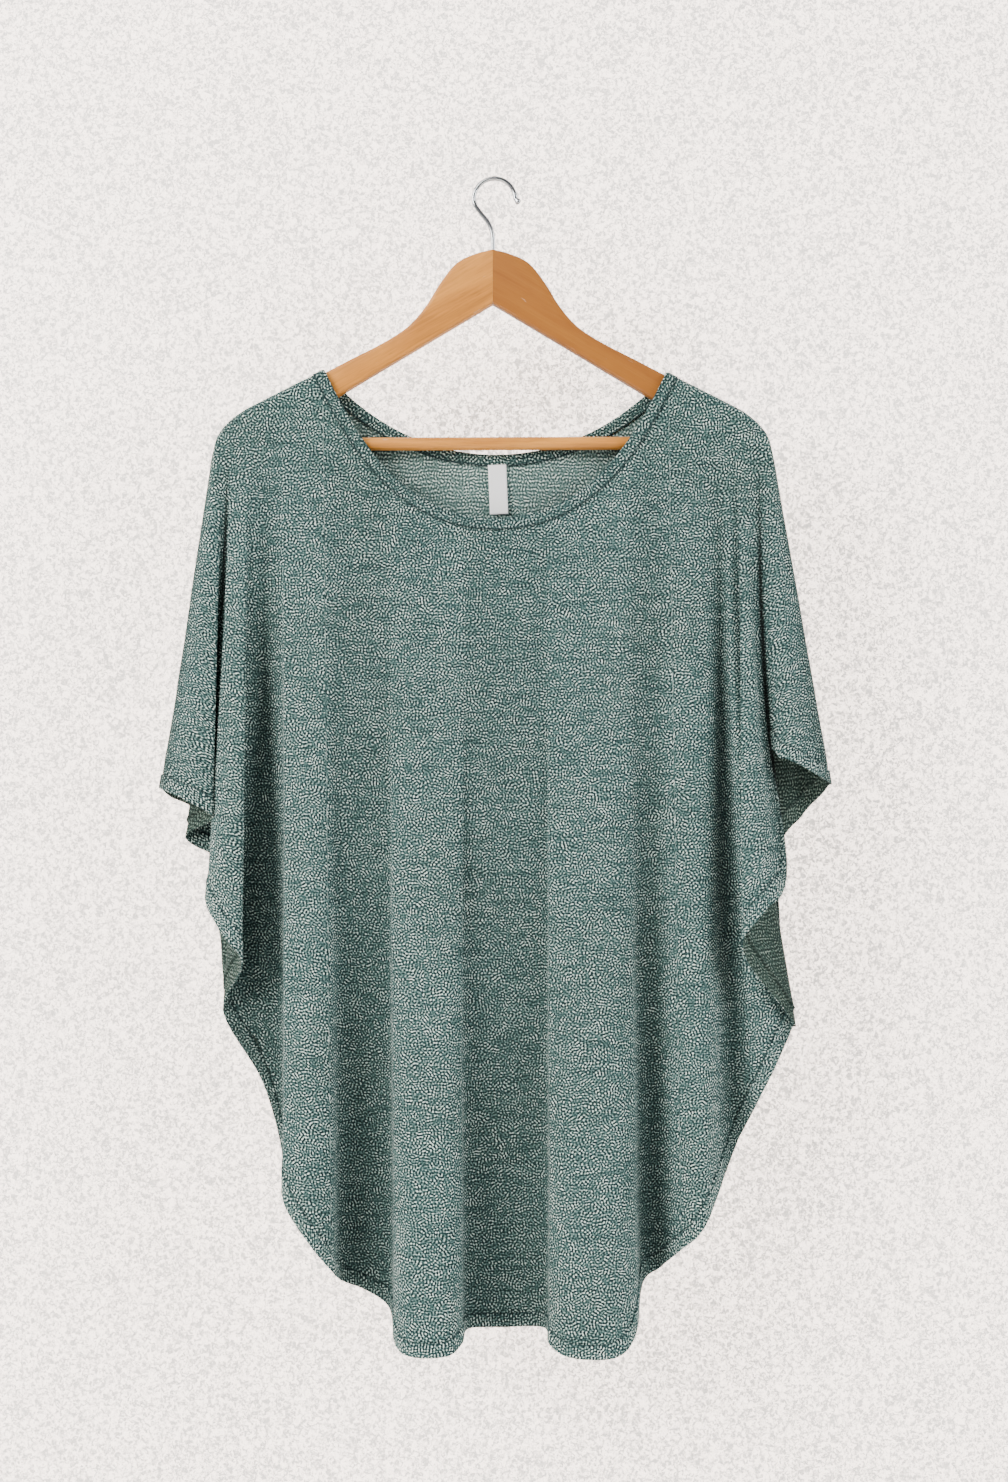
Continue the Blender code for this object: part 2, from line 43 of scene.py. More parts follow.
# Sizes that the cloth, the band and the hanger share, and the lines they follow
hung = {
    "cloth": 0.0012,  # thickness of the knit
    "seamGap": 0.0003,  # between the panels on top of the arm
    "seamFlat": 0.0020,  # flat strip beside that seam
    "depth": 0.0090,  # from the arm's middle to the cloth in front of or behind it
    "foldStart": 0.05,  # share of the length that hangs straight before a fold begins
    "foldPower": 1.4,  # how late it then opens
    "armRound": 0.0060,  # drop over which the cloth rounds the arm
    "hangerX": -0.0015,
    "neckMiddle": 0.0007,
    "neckHalf": 0.1465,
    "neckLow": {"front": -0.2895, "back": -0.2335},
    "neckSteps": 64,  # in each half of a neck edge
}
shoulderLine = [  # distance from the joint, height
    (0.1300, -0.1550), (0.1443, -0.1628), (0.1698, -0.1753), (0.1960, -0.1886), (0.2125, -0.1975),
    (0.2245, -0.2072), (0.2325, -0.2180), (0.2378, -0.2358),
]
neckHandles = {  # how each half of a neck edge leaves its corner, and its pull at the bottom
    "front": ((0.0275, 0.45), 0.0810),
    "back": ((0.0260, 0.43), 0.0700),
}

# Lines of the cloth from the top edge to the free edge: x at the top, x, height and distance out
# of the hanger's plane at the edge, share of the length where the fold is full, lateness of the flare
frontFolds = [
    # name, topX, edgeX, edgeZ, edgeY, full, flare
    ("overarmLeft", -0.2393, -0.283, -0.516, -0.002, 1.0, 1.0),
    ("sleeveFaceLeft", -0.2350, -0.260, -0.525, -0.022, 1.0, 1.0),
    ("sleeveTurnLeft", -0.2310, -0.237, -0.541, -0.018, 1.0, 1.0),
    ("sleeveTuckLeft", -0.2280, -0.262, -0.555, 0.001, 1.0, 1.8),
    ("sleeveUnderLeft", -0.2262, -0.259, -0.564, 0.008, 1.0, 1.8),
    ("underarmLeft", -0.2240, -0.230, -0.581, 0.002, 1.0, 1.3),
    ("flapSideLeft", -0.2205, -0.242, -0.609, -0.015, 1.0, 1.3),
    ("flapFaceLeft", -0.2145, -0.224, -0.639, -0.033, 1.0, 1.0),
    ("flapTurnLeft", -0.2085, -0.211, -0.662, -0.031, 1.0, 1.0),
    ("flapTuckLeft", -0.2030, -0.231, -0.705, -0.002, 1.0, 1.8),
    ("sideSeamLeft", -0.1930, -0.198, -0.765, 0.004, 0.45, 1.0),
    ("ridgeFootLeft", -0.1820, -0.179, -0.823, -0.004, 0.8, 1.0),
    ("ridgeSideLeft", -0.1760, -0.175, -0.859, -0.028, 1.0, 1.0),
    ("ridgeCrestLeft", -0.1610, -0.155, -0.891, -0.038, 1.0, 1.0),
    ("neckPointLeft", -0.1458, -0.137, -0.917, -0.030, 1.0, 1.0),
    ("valleySideLeft", -0.1340, -0.130, -0.932, -0.008, 0.9, 1.0),
    ("valleyLeft", -0.1130, -0.109, -0.942, -0.001, 0.8, 1.0),
    ("tubeFootLeft", -0.0920, -0.087, -0.956, -0.007, 0.9, 1.0),
    ("tubeSideLeft", -0.0850, -0.082, -0.978, -0.030, 1.0, 1.0),
    ("tubeCrestLeft", -0.0710, -0.069, -0.984, -0.044, 1.0, 1.0),
    ("tubeFaceLeft", -0.0430, -0.040, -0.984, -0.044, 1.0, 1.0),
    ("tubeFarLeft", -0.0290, -0.028, -0.978, -0.030, 1.0, 1.0),
    ("centreFootLeft", -0.0220, -0.023, -0.973, -0.007, 0.9, 1.0),
    ("centreValley", 0.0090, 0.009, -0.974, 0.000, 0.8, 1.0),
    ("centreFootRight", 0.0410, 0.043, -0.972, -0.007, 0.9, 1.0),
    ("tubeSideRight", 0.0480, 0.047, -0.979, -0.030, 1.0, 1.0),
    ("tubeCrestRight", 0.0610, 0.063, -0.985, -0.044, 1.0, 1.0),
    ("tubeFaceRight", 0.0970, 0.100, -0.985, -0.044, 1.0, 1.0),
    ("tubeFarRight", 0.1090, 0.117, -0.969, -0.030, 1.0, 1.0),
    ("valleySideRight", 0.1170, 0.124, -0.934, -0.007, 0.9, 1.0),
    ("valleyRight", 0.1310, 0.141, -0.923, -0.001, 0.8, 1.0),
    ("neckPointRight", 0.1472, 0.158, -0.903, -0.018, 1.0, 1.0),
    ("ridgeCrestRight", 0.1640, 0.175, -0.882, -0.028, 1.0, 1.0),
    ("sideSeamRight", 0.1860, 0.203, -0.825, 0.004, 0.45, 1.0),
    ("flapLowRight", 0.1960, 0.231, -0.765, -0.008, 0.9, 1.8),
    ("flapUnderRight", 0.2005, 0.252, -0.722, 0.001, 1.0, 1.8),
    ("flapTuckRight", 0.2030, 0.253, -0.713, -0.005, 1.0, 1.8),
    ("flapTurnRight", 0.2065, 0.208, -0.652, -0.031, 1.0, 1.0),
    ("flapFaceRight", 0.2120, 0.224, -0.618, -0.033, 1.0, 1.5),
    ("flapSideRight", 0.2175, 0.2445, -0.590, -0.015, 1.0, 3.2),
    ("underarmRight", 0.2240, 0.2352, -0.4905, -0.0065, 1.0, 3.0),
    ("sleeveTurnRight", 0.2290, 0.2410, -0.4905, -0.0175, 1.0, 1.0),
    ("sleeveHemRight", 0.2308, 0.2465, -0.492, -0.0218, 1.0, 1.0),
    ("sleeveFaceRight", 0.2320, 0.256, -0.497, -0.022, 1.0, 1.0),
    ("overarmRight", 0.2363, 0.285, -0.513, -0.002, 1.0, 1.0),
]
backFolds = [
    ("overarmLeft", -0.2393, -0.283, -0.516, 0.002, 1.0, 1.0),
    ("sleeveFaceLeft", -0.2350, -0.279, -0.524, 0.018, 1.0, 1.0),
    ("sleeveFoldLeft", -0.2300, -0.256, -0.540, 0.026, 1.0, 1.0),
    ("underarmLeft", -0.2230, -0.2375, -0.590, 0.017, 1.0, 1.0),
    ("flapFaceLeft", -0.2140, -0.2380, -0.645, 0.024, 1.0, 1.8),
    ("flapLowLeft", -0.2040, -0.229, -0.702, 0.014, 1.0, 1.0),
    ("sideSeamLeft", -0.1930, -0.198, -0.765, 0.0055, 0.45, 1.0),
    ("ridgeOuterLeft", -0.1680, -0.166, -0.852, 0.036, 1.0, 1.0),
    ("neckPointLeft", -0.1458, -0.143, -0.894, 0.026, 1.0, 1.0),
    ("valleyOuterLeft", -0.1250, -0.122, -0.922, 0.015, 1.0, 1.0),
    ("ridgeLeft", -0.0850, -0.083, -0.948, 0.038, 1.0, 1.0),
    ("valleyLeft", -0.0450, -0.043, -0.960, 0.015, 1.0, 1.0),
    ("ridgeMiddle", 0.0020, 0.003, -0.965, 0.036, 1.0, 1.0),
    ("valleyRight", 0.0480, 0.050, -0.960, 0.015, 1.0, 1.0),
    ("ridgeRight", 0.0880, 0.092, -0.948, 0.038, 1.0, 1.0),
    ("valleyOuterRight", 0.1270, 0.132, -0.916, 0.015, 1.0, 1.0),
    ("neckPointRight", 0.1472, 0.154, -0.895, 0.026, 1.0, 1.0),
    ("ridgeOuterRight", 0.1660, 0.176, -0.872, 0.034, 1.0, 1.0),
    ("sideSeamRight", 0.1860, 0.203, -0.825, 0.0055, 0.45, 1.0),
    ("flapLowRight", 0.1980, 0.242, -0.745, 0.012, 1.0, 1.0),
    ("flapFaceRight", 0.2090, 0.2485, -0.680, 0.025, 1.0, 1.8),
    ("underarmRight", 0.2180, 0.2435, -0.575, 0.017, 1.0, 1.0),
    ("sleeveFoldRight", 0.2270, 0.265, -0.541, 0.024, 1.0, 1.0),
    ("sleeveFaceRight", 0.2320, 0.281, -0.522, 0.017, 1.0, 1.0),
    ("overarmRight", 0.2363, 0.285, -0.513, 0.002, 1.0, 1.0),
]
sides = {"front": -1.0, "back": 1.0}


# Camera and light

cameraLook = {
    "place": (0.00805, -1.5, -0.4763),
    "millimetreAPixel": 0.85,  # in the hanger's plane
    "pixelsWide": 1008,
    "sensor": 36.0,
}
worldLook = {"colour": (0.93, 0.95, 1.0, 1.0), "strength": 0.125}
lightLook = [
    # name, place, aimed at, width, height, watts, colour
    ("keyLight", (-2.15, -1.6, 0.75), (0.0, 0.0, -0.45), 1.2, 1.6, 122.0, (1.0, 0.97, 0.94)),
    ("sideLight", (2.4, -1.15, 0.35), (0.0, 0.0, -0.5), 1.2, 1.8, 64.0, (0.97, 0.99, 1.0)),
    ("frontLight", (-1.1, -2.9, 2.1), (0.0, 0.0, -0.5), 1.8, 1.2, 50.0, (1.0, 0.99, 0.97)),
    ("backLight", (1.2, 2.3, 0.6), (0.0, 0.0, -0.5), 1.8, 1.8, 42.0, (1.0, 0.98, 0.95)),
]


def addCamera():
    seen = bpy.data.cameras.new("photoCamera")
    camera = bpy.data.objects.new("photoCamera", seen)
    bpy.context.scene.collection.objects.link(camera)
    camera.location = cameraLook["place"]
    camera.rotation_euler = (math.radians(90.0), 0.0, 0.0)
    seen.sensor_fit = "HORIZONTAL"
    seen.sensor_width = cameraLook["sensor"]
    shownWidth = cameraLook["pixelsWide"] * cameraLook["millimetreAPixel"] / 1000.0
    seen.lens = seen.sensor_width * -cameraLook["place"][1] / shownWidth
    bpy.context.scene.camera = camera


def addLights():
    for name, place, aim, width, height, watts, colour in lightLook:
        lamp = bpy.data.lights.new(name, "AREA")
        lamp.shape = "RECTANGLE"
        lamp.size = width
        lamp.size_y = height
        lamp.energy = watts
        lamp.color = colour
        light = bpy.data.objects.new(name, lamp)
        light.location = place
        light.rotation_euler = (Vector(aim) - Vector(place)).to_track_quat("-Z", "Y").to_euler()
        bpy.context.scene.collection.objects.link(light)
    world = bpy.data.worlds.new("studio")
    world.use_nodes = True
    background = world.node_tree.nodes["Background"]
    background.inputs["Color"].default_value = worldLook["colour"]
    background.inputs["Strength"].default_value = worldLook["strength"]
    bpy.context.scene.world = world


# Materials: sockets that can be calculated with, and one maker of nodes

waveRow = 0.314  # a Wave texture's scale for one row a metre


class Wire:  # a socket; sums on it add Math nodes
    def __init__(self, maker, socket):
        self.maker = maker
        self.socket = socket

    def calc(self, operation, *values):
        return self.maker.node("ShaderNodeMath", {"operation": operation}, dict(enumerate(values)))

    def __add__(self, other):
        return self.calc("ADD", self, other)

    def __sub__(self, other):
        return self.calc("SUBTRACT", self, other)

    def __rsub__(self, other):
        return self.calc("SUBTRACT", other, self)

    def __mul__(self, other):
        return self.calc("MULTIPLY", self, other)

    __radd__ = __add__
    __rmul__ = __mul__

    def other(self, name):  # another output of the same node
        return Wire(self.maker, self.socket.node.outputs[name])


class Finish:  # a material and its nodes
    def __init__(self, name, **constants):
        self.material = bpy.data.materials.new(name)
        self.material.use_nodes = True
        self.tree = self.material.node_tree
        self.shader = self.tree.nodes["Principled BSDF"]
        for socket, value in constants.items():
            self.shader.inputs[socket.replace("_", " ")].default_value = value

    def node(self, kind, settings=None, sockets=None, out=0):
        made = self.tree.nodes.new(kind)
        for name, value in (settings or {}).items():
            if name == "stops":
                self.fillRamp(made.color_ramp, value)
            else:
                setattr(made, name, value)
        for name, value in (sockets or {}).items():
            self.plug(made.inputs[name], value)
        return Wire(self, made.outputs[out])

    def plug(self, socket, value):
        if isinstance(value, Wire):
            self.tree.links.new(value.socket, socket)
        else:
            socket.default_value = value

    def fillRamp(self, ramp, stops):
        while len(ramp.elements) < len(stops):
            ramp.elements.new(0.5)
        for element, (place, colour) in zip(ramp.elements, stops):
            element.position = place
            element.color = colour

    def ramp(self, value, stops):
        return self.node("ShaderNodeValToRGB", {"stops": stops}, {"Fac": value})

    def steps(self, value, low, high, start=0.0, end=1.0):  # value from low to high becomes start to end
        sockets = {"Value": value, "From Min": low, "From Max": high, "To Min": start, "To Max": end}
        return self.node("ShaderNodeMapRange", {"interpolation_type": "SMOOTHSTEP"}, sockets)

    def mix(self, share, a, b, mode="MIX"):
        settings = {"data_type": "RGBA", "blend_type": mode}
        return self.node("ShaderNodeMix", settings, {0: share, 6: a, 7: b}, out=2)

    def map(self, name=None):  # the piece's own UV map, in metres, or its Object coordinates
        if name:
            return self.node("ShaderNodeUVMap", {"uv_map": name})
        return self.node("ShaderNodeTexCoord", out="Object")

    def placed(self, vector, scale=(1.0, 1.0, 1.0), turn=(0.0, 0.0, 0.0), shift=(0.0, 0.0, 0.0)):
        sockets = {"Vector": vector, "Location": shift, "Rotation": turn, "Scale": scale}
        return self.node("ShaderNodeMapping", None, sockets)

    def noise(self, vector, scale, detail=2.0, rough=0.5, sway=0.0):
        sockets = {"Vector": vector, "Scale": scale, "Detail": detail, "Roughness": rough,
                   "Distortion": sway}
        return self.node("ShaderNodeTexNoise", None, sockets)

    def rows(self, vector, way, scale, sway, detail=2.0, detailScale=1.0):  # even rows or ribs, 0 to 1
        sockets = {"Vector": vector, "Scale": scale, "Distortion": sway, "Detail": detail,
                   "Detail Scale": detailScale}
        return self.node("ShaderNodeTexWave", {"bands_direction": way}, sockets, "Fac")

    def axis(self, vector, name):
        return self.node("ShaderNodeSeparateXYZ", None, {0: vector}, name)

    def stored(self, name):  # a value that each vertex of the piece holds
        return self.node("ShaderNodeAttribute", {"attribute_name": name}, None, "Fac")

    def bumps(self, height, distance, strength=1.0):
        sockets = {"Height": height, "Distance": distance, "Strength": strength}
        return self.node("ShaderNodeBump", None, sockets)

    def wear(self, colour=None, rough=None, normal=None):
        for name, value in (("Base Color", colour), ("Roughness", rough), ("Normal", normal)):
            if value is not None:
                self.plug(self.shader.inputs[name], value)
        return self.material


# The knit, for the panels and the binding

knitLook = {
    "dark": (0.008, 0.021, 0.023, 1.0),
    "middle": (0.036, 0.082, 0.080, 1.0),
    "light": (0.184, 0.284, 0.260, 1.0),
    "fleck": (0.830, 0.930, 0.860, 1.0),
    "stops": {"dark": 0.0, "middle": 0.34, "light": 0.74, "fleck": 1.0},  # from no pale yarn to all
    "blue": (0.150, 0.270, 0.290, 1.0),
    "olive": (0.230, 0.240, 0.150, 1.0),
    "haze": (0.28, 0.38, 0.34, 1.0),
    "valleyPaintedShade": (0.30, 0.345, 0.335, 1.0),  # painted shade: what is left of the colour deep in a fold
    "slit": (0.08, 0.10, 0.10, 1.0),  # painted shade, darker still, between two folds that nearly meet
    "ridgePaintedHighlight": (1.22, 1.20, 1.19, 1.0),  # painted highlight: how far the colour lightens on a fold's crest
    "inside": (0.28, 0.31, 0.28, 1.0),  # painted shade: what is left of it on the wrong side, out of the light
    "insideFrom": (-0.43, -0.31),  # heights between which that painted shade begins
    "bends": (38.0, 0.006),  # how closely the rows of loops bend, and how far
    "strokes": 172.0,  # patches of strokes a metre
    "strokesInPatch": 2.3,
    "yarn": (760.0, 0.48),  # specks a metre, and their part in the tone
    "streaks": ((24.0, 330.0, 1.0), 0.18),  # long streaks across, and their part in the tone
    "outer": {"courses": 640.0, "sway": 1.5, "lined": 0.06, "darkest": 0.34},  # rows of loops a metre,
    "inner": {"courses": 300.0, "sway": 4.5, "lined": 0.15, "darkest": 0.26},  # their sway and their part
    "palest": 0.74,  # tone of all pale yarn, as darkest is of all dark yarn
    "patches": (7.0, 0.22),  # of the blue, a metre, and its part in the colour
    "shoulder": (-0.30, -0.19),  # heights between which the shoulders' cast begins
    "oliveShare": 0.11,
    "hemRibs": (400.0, 0.16),  # ribs a metre, and their part in the tone
    "hemRibsEnd": (-0.0014, -0.0004),  # beside the hem's stitched line
    "bandRibs": 620.0,
    "stitch": 0.0003,  # half the width of a stitched line, and how dark it is, stitches and painted shade together
    "stitchDark": 0.75,
    "fuzz": (1500.0, 0.35),  # hairs a metre, and their part in the relief
    "bump": 0.00026,
}


def knitDrawing(finish, flat, side):  # short strokes, with a few rows of loops across them
    look = knitLook
    bent = finish.noise(flat, look["bends"][0]).other("Color")
    wavy = finish.node("ShaderNodeVectorMath", {"operation": "SCALE"}, {0: bent, "Scale": look["bends"][1]})
    drawn = finish.node("ShaderNodeVectorMath", {"operation": "ADD"}, {0: flat, 1: wavy})
    sockets = {"Vector": drawn, "Scale": look["strokes"], "Frequency": look["strokesInPatch"],
               "Anisotropy": 0.0}
    strokes = finish.node("ShaderNodeTexGabor", {"gabor_type": "2D"}, sockets)
    loops = finish.rows(drawn, "Y", side["courses"] * waveRow, side["sway"], 2.0, 0.6)
    return strokes * (1.0 - side["lined"]) + loops * side["lined"]


def hemRibs(finish, pastStitch):  # upright ribs, only inside the turned hem
    aMetre, share = knitLook["hemRibs"]
    ribs = finish.rows(finish.map("hem"), "X", aMetre * waveRow, 2.5, 2.0, 1.4)
    inHem = 1.0 - finish.steps(pastStitch, *knitLook["hemRibsEnd"])
    return (ribs - 0.5) * (inHem * share)


def castOver(finish, colour):  # blue patches, and an olive cast on the shoulders
    look = knitLook
    place = finish.map()
    aMetre, blueShare = look["patches"]
    patches = finish.noise(place, aMetre, 2.0, 0.55)
    tint = finish.ramp(finish.steps(patches, 0.35, 0.68), [(0.0, look["blue"]), (1.0, look["middle"])])
    colour = finish.mix(blueShare, colour, tint, "SOFT_LIGHT")
    shoulder = finish.steps(finish.axis(place, "Z") + (patches - 0.5) * 0.12, *look["shoulder"])
    return finish.mix(shoulder * look["oliveShare"], colour, look["olive"], "OVERLAY")


def paintedFoldShade(finish, colour):  # painted shade in valleys and slits, painted highlight on crests; a share below 0 leaves the colour as it is
    deep = finish.stored("deep")
    for share, tint in ((deep * 2.0 - 1.0, "valleyPaintedShade"), (1.0 - deep * 2.0, "ridgePaintedHighlight"),
                        (finish.stored("slit"), "slit")):
        colour = finish.mix(share, colour, knitLook[tint], "MULTIPLY")
    return colour


def darkLine(finish, off, fade, colour, share=1.0):  # a dark stitched line where off is 0: the stitches' own tone and painted shade in the groove along them
    line = 1.0 - finish.steps(off.calc("ABSOLUTE", off), knitLook["stitch"], fade)
    return finish.mix(line * share * knitLook["stitchDark"], colour, knitLook["dark"])


def boundEdge(finish, flat, colour, height):  # the binding's ribs, and its stitched line on both faces
    ribs = finish.rows(flat, "X", knitLook["bandRibs"] * waveRow, 1.2, 1.0)
    colour = finish.mix((1.0 - ribs) * 0.24, colour, knitLook["dark"])
    half = bandLook["around"] / 2
    offMiddle = finish.axis(flat, "Y") - half
    offLine = offMiddle.calc("ABSOLUTE", offMiddle) - (half - bandLook["stitchIn"])
    return darkLine(finish, offLine, 0.0016, colour), height * 0.5 + ribs * 0.9


def knitFinish(name, kind):  # kind is outer, inner or binding
    look = knitLook
    side = look["inner" if kind == "inner" else "outer"]
    finish = Finish(name, Sheen_Weight=0.05, Sheen_Roughness=0.5, Specular_IOR_Level=0.15)
    flat = finish.map("cloth")
    drawing = knitDrawing(finish, flat, side)
    if kind != "binding":
        pastStitch = finish.axis(finish.map("hem"), "Y") - panelLook["hem"]
        drawing = drawing + hemRibs(finish, pastStitch)
    (specks, speckShare), (stretch, streakShare) = look["yarn"], look["streaks"]
    yarn = finish.noise(flat, specks, 3.0, 0.65)
    streaks = finish.noise(finish.placed(flat, stretch), 1.0, 3.0, 0.6)
    tone = drawing + (yarn - 0.5) * speckShare + (streaks - 0.5) * streakShare
    pale = finish.steps(tone, side["darkest"], look["palest"])
    colour = finish.ramp(pale, [(stop, look[shade]) for shade, stop in look["stops"].items()])
    colour = castOver(finish, colour)
    height = pale + finish.noise(flat, look["fuzz"][0], 1.0) * look["fuzz"][1]
    if kind == "binding":
        colour, height = boundEdge(finish, flat, colour, height)
    else:
        # painted shade in the folds' valleys and slits, painted highlight on their crests
        colour = paintedFoldShade(finish, colour)
        colour = darkLine(finish, pastStitch, 0.0014, colour, finish.steps(yarn, 0.30, 0.62))
    if kind == "inner":
        colour = finish.mix(0.10, colour, look["haze"])
        # painted shade on the wrong side, lower down where the inside is out of the light
        below = 1.0 - finish.steps(finish.axis(finish.map(), "Z"), *look["insideFrom"])
        colour = finish.mix(below, colour, look["inside"], "MULTIPLY")
    rough = finish.steps(pale, 0.0, 1.0, 0.95, 0.78)
    return finish.wear(colour, rough, finish.bumps(height, look["bump"], 0.8))


# The wood, for the arms and the bar

woodLook = {
    "pale": (0.800, 0.335, 0.058, 1.0),
    "honey": (0.620, 0.240, 0.036, 1.0),
    "deep": (0.240, 0.078, 0.014, 1.0),
    "scratch": (0.86, 0.66, 0.46, 1.0),
    "stops": {"pale": 0.36, "honey": 0.53, "deep": 0.80},
    "figure": (5.0, 30.0, 42.0),  # marks a metre along the wood and across it
    "grain": (22.0, 500.0, 620.0),
    "pores": (90.0, 1500.0, 1800.0),
    "scuffs": (60.0, 300.0, 520.0),
    "scuffTurn": (0.0, 0.25, 0.0),
    "lean": 30.0,  # of the grain in an arm
}


def woodFinish(name, lean, darker=0.0, seed=0.0):
    look = woodLook
    finish = Finish(name, Coat_Weight=0.12, Coat_Roughness=0.22, Specular_IOR_Level=0.35)
    along = finish.placed(finish.map(), (1.0, 1.0, 1.0), (0.0, lean, 0.0), (seed, 0.0, 0.0))
    figure = finish.noise(finish.placed(along, look["figure"]), 1.0, 4.0, 0.55, 1.4)
    grain = finish.noise(finish.placed(along, look["grain"]), 1.0, 3.0, 0.6)
    pores = finish.noise(finish.placed(along, look["pores"]), 1.0, 1.0)
    share = figure * 0.72 + grain * 0.34
    colour = finish.ramp(share, [(stop, look[shade]) for shade, stop in look["stops"].items()])
    colour = finish.mix(finish.steps(pores, 0.60, 0.74) * 0.35, colour, look["deep"])
    colour = finish.mix(darker, colour, look["deep"])
    scuffs = finish.noise(finish.placed(along, look["scuffs"], look["scuffTurn"]), 1.0, 2.0, 0.7)
    marks = finish.steps(scuffs, 0.73, 0.78)
    colour = finish.mix(marks * 0.55, colour, look["scratch"])
    rough = finish.steps(figure, 0.2, 0.8, 0.34, 0.46) + marks * 0.2
    return finish.wear(colour, rough, finish.bumps(grain * 0.6 + pores * 0.5 - marks * 0.5, 0.00018, 0.7))


# Helpers for lines and pieces

def spline(before, start, end, after, t):  # a point at t on the smooth curve from start to end
    a = 2.0 * start
    b = end - before
    c = 2.0 * before - 5.0 * start + 4.0 * end - after
    d = 3.0 * (start - end) + after - before
    return 0.5 * (a + (b + (c + d * t) * t) * t)


def smoothLine(points, steps):
    knots = [Vector(p) for p in points]
    knots = [2.0 * knots[0] - knots[1]] + knots + [2.0 * knots[-1] - knots[-2]]
    line = []
    for i in range(1, len(knots) - 2):
        line += [spline(*knots[i - 1:i + 3], k / steps) for k in range(steps)]
    return line + [knots[-2]]


def heightOn(line, x):  # height of a line of (x, z) points, where x grows along it
    for (x0, z0), (x1, z1) in zip(line, line[1:]):
        if x0 <= x <= x1:
            return z0 + (z1 - z0) * (x - x0) / max(x1 - x0, 1e-9)
    return line[0][1] if x < line[0][0] else line[-1][1]


def smoothStep(value, low, high):
    t = min(max((value - low) / (high - low), 0.0), 1.0)
    return t * t * (3.0 - 2.0 * t)


shoulder = [tuple(p) for p in smoothLine(shoulderLine, steps=8)]


def shoulderHeight(x):
    return heightOn(shoulder, abs(x - hung["hangerX"]))


def neckLine(side):  # one panel's neck edge from left to right
    low = hung["neckLow"][side]
    (pullX, pullZ), reach = neckHandles[side]
    line = []
    for hand in (-1.0, 1.0):
        cornerX = hung["neckMiddle"] + hand * hung["neckHalf"]
        corner = Vector((cornerX, shoulderHeight(cornerX)))
        upper = corner + Vector((-hand * pullX, -pullZ * (corner.y - low)))
        lower = Vector((hung["neckMiddle"] + hand * reach, low))
        middle = Vector((hung["neckMiddle"], low))
        half = []
        for k in range(hung["neckSteps"] + 1):
            t = k / hung["neckSteps"]
            s = 1.0 - t
            half.append(corner * s ** 3 + upper * (3 * s * s * t) + lower * (3 * s * t * t) + middle * t ** 3)
        line += half if hand < 0.0 else half[-2::-1]
    return [tuple(p) for p in line]


def overArm(drop):  # share of the way out from the seam on top of the arm
    left = 1.0 - min(max(drop / hung["armRound"], 0.0), 1.0)
    return math.sqrt(1.0 - left * left)


def addPiece(name, mesh, materials):
    piece = bpy.data.objects.new(name, mesh)
    for material in materials:
        piece.data.materials.append(material)
    bpy.context.scene.collection.objects.link(piece)
    return piece


def finishMesh(bm, name, smooth=True):
    mesh = bpy.data.meshes.new(name)
    bm.to_mesh(mesh)
    bm.free()
    if smooth:
        mesh.shade_smooth()
    return mesh


def addWall(piece, thickness, innerSlot=0):
    wall = piece.modifiers.new("wall", "SOLIDIFY")
    wall.thickness = thickness
    wall.offset = 0.0
    wall.material_offset = innerSlot
    wall.material_offset_rim = 0


# Front and back panels

panelLook = {
    "columnsPerFold": {"front": 6, "back": 10},
    "columnsAtNeckPoint": 16,
    "topDrops": [0.0, 0.0004, 0.0009, 0.0015, 0.0023, 0.0034, 0.0046, 0.0060, 0.0085, 0.0120, 0.0170],
    "bodyRows": 84,
    "hemRows": [0.0210, 0.0180, 0.0155, 0.0138, 0.0126, 0.0119, 0.0113, 0.0107, 0.0100, 0.0088, 0.0068,
                0.0048, 0.0030, 0.0016, 0.0006, 0.0],
    "hem": 0.0113,  # from the edge to its stitched line
    "hemThick": 0.00110,
    "stitchGroove": 0.00085,
    "grooveWide": 0.0009,
    "hemEnds": (-0.0008, 0.0002),  # beside the stitched line, over which its thickness ends
    "levels": 220,  # heights at which the cloth is measured across
    "shades": [(0.028, 0.0105), (0.009, 0.0042)],  # for the painted fold shade: how far beside a fold its neighbours shade it, how deep
    "shadeGain": 1.15,
    "early": 0.38,  # part of a fold's lower painted shade that is painted above it too
    "earlyOver": 0.24,  # way down over which that begins
    "earlyFrom": 0.8,  # share of the length where the lower shade is taken
    "slit": (0.006, 0.0012),  # the same for the painted slit shade, where both neighbours stand close
    "slitBeside": (0.0, 0.4),  # nearness to the underarm over which slits get painted shade
    "sewn": (0.2, 0.9),  # nearness to the side seam over which ripples fade
    "steepest": 1.9,  # longest that a hem row may grow on a slanting edge
    "slantSpread": 4,  # columns each way that share one slant
    "turnSpan": 3,  # columns each way that tell how tightly the cloth turns
    "openTurn": (0.55, 0.97),  # cosine of that turn, from no ripples to full ones
    "seed": {"front": 3.1, "back": 17.7},
    "ripple": (0.0016, 13.0, 2.6, 0.0),  # height, waves a metre across and down, seed of its own
    "creases": (0.0005, 34.0, 8.0, 5.0),
    "pucker": (0.00070, 95.0, 40.0, 9.0),  # along the hem
    "edgeWave": (0.0014, 22.0, 0.0, 13.0),  # of the free edge
    "edgeWaveDown": 0.045,
    "puckerPast": 0.010,  # how far past the hem the puckers go
    "calmTop": (0.012, 0.090),  # way down over which ripples grow
    "plainTop": (0.02, 0.06),  # and over which the hem's relief does
}


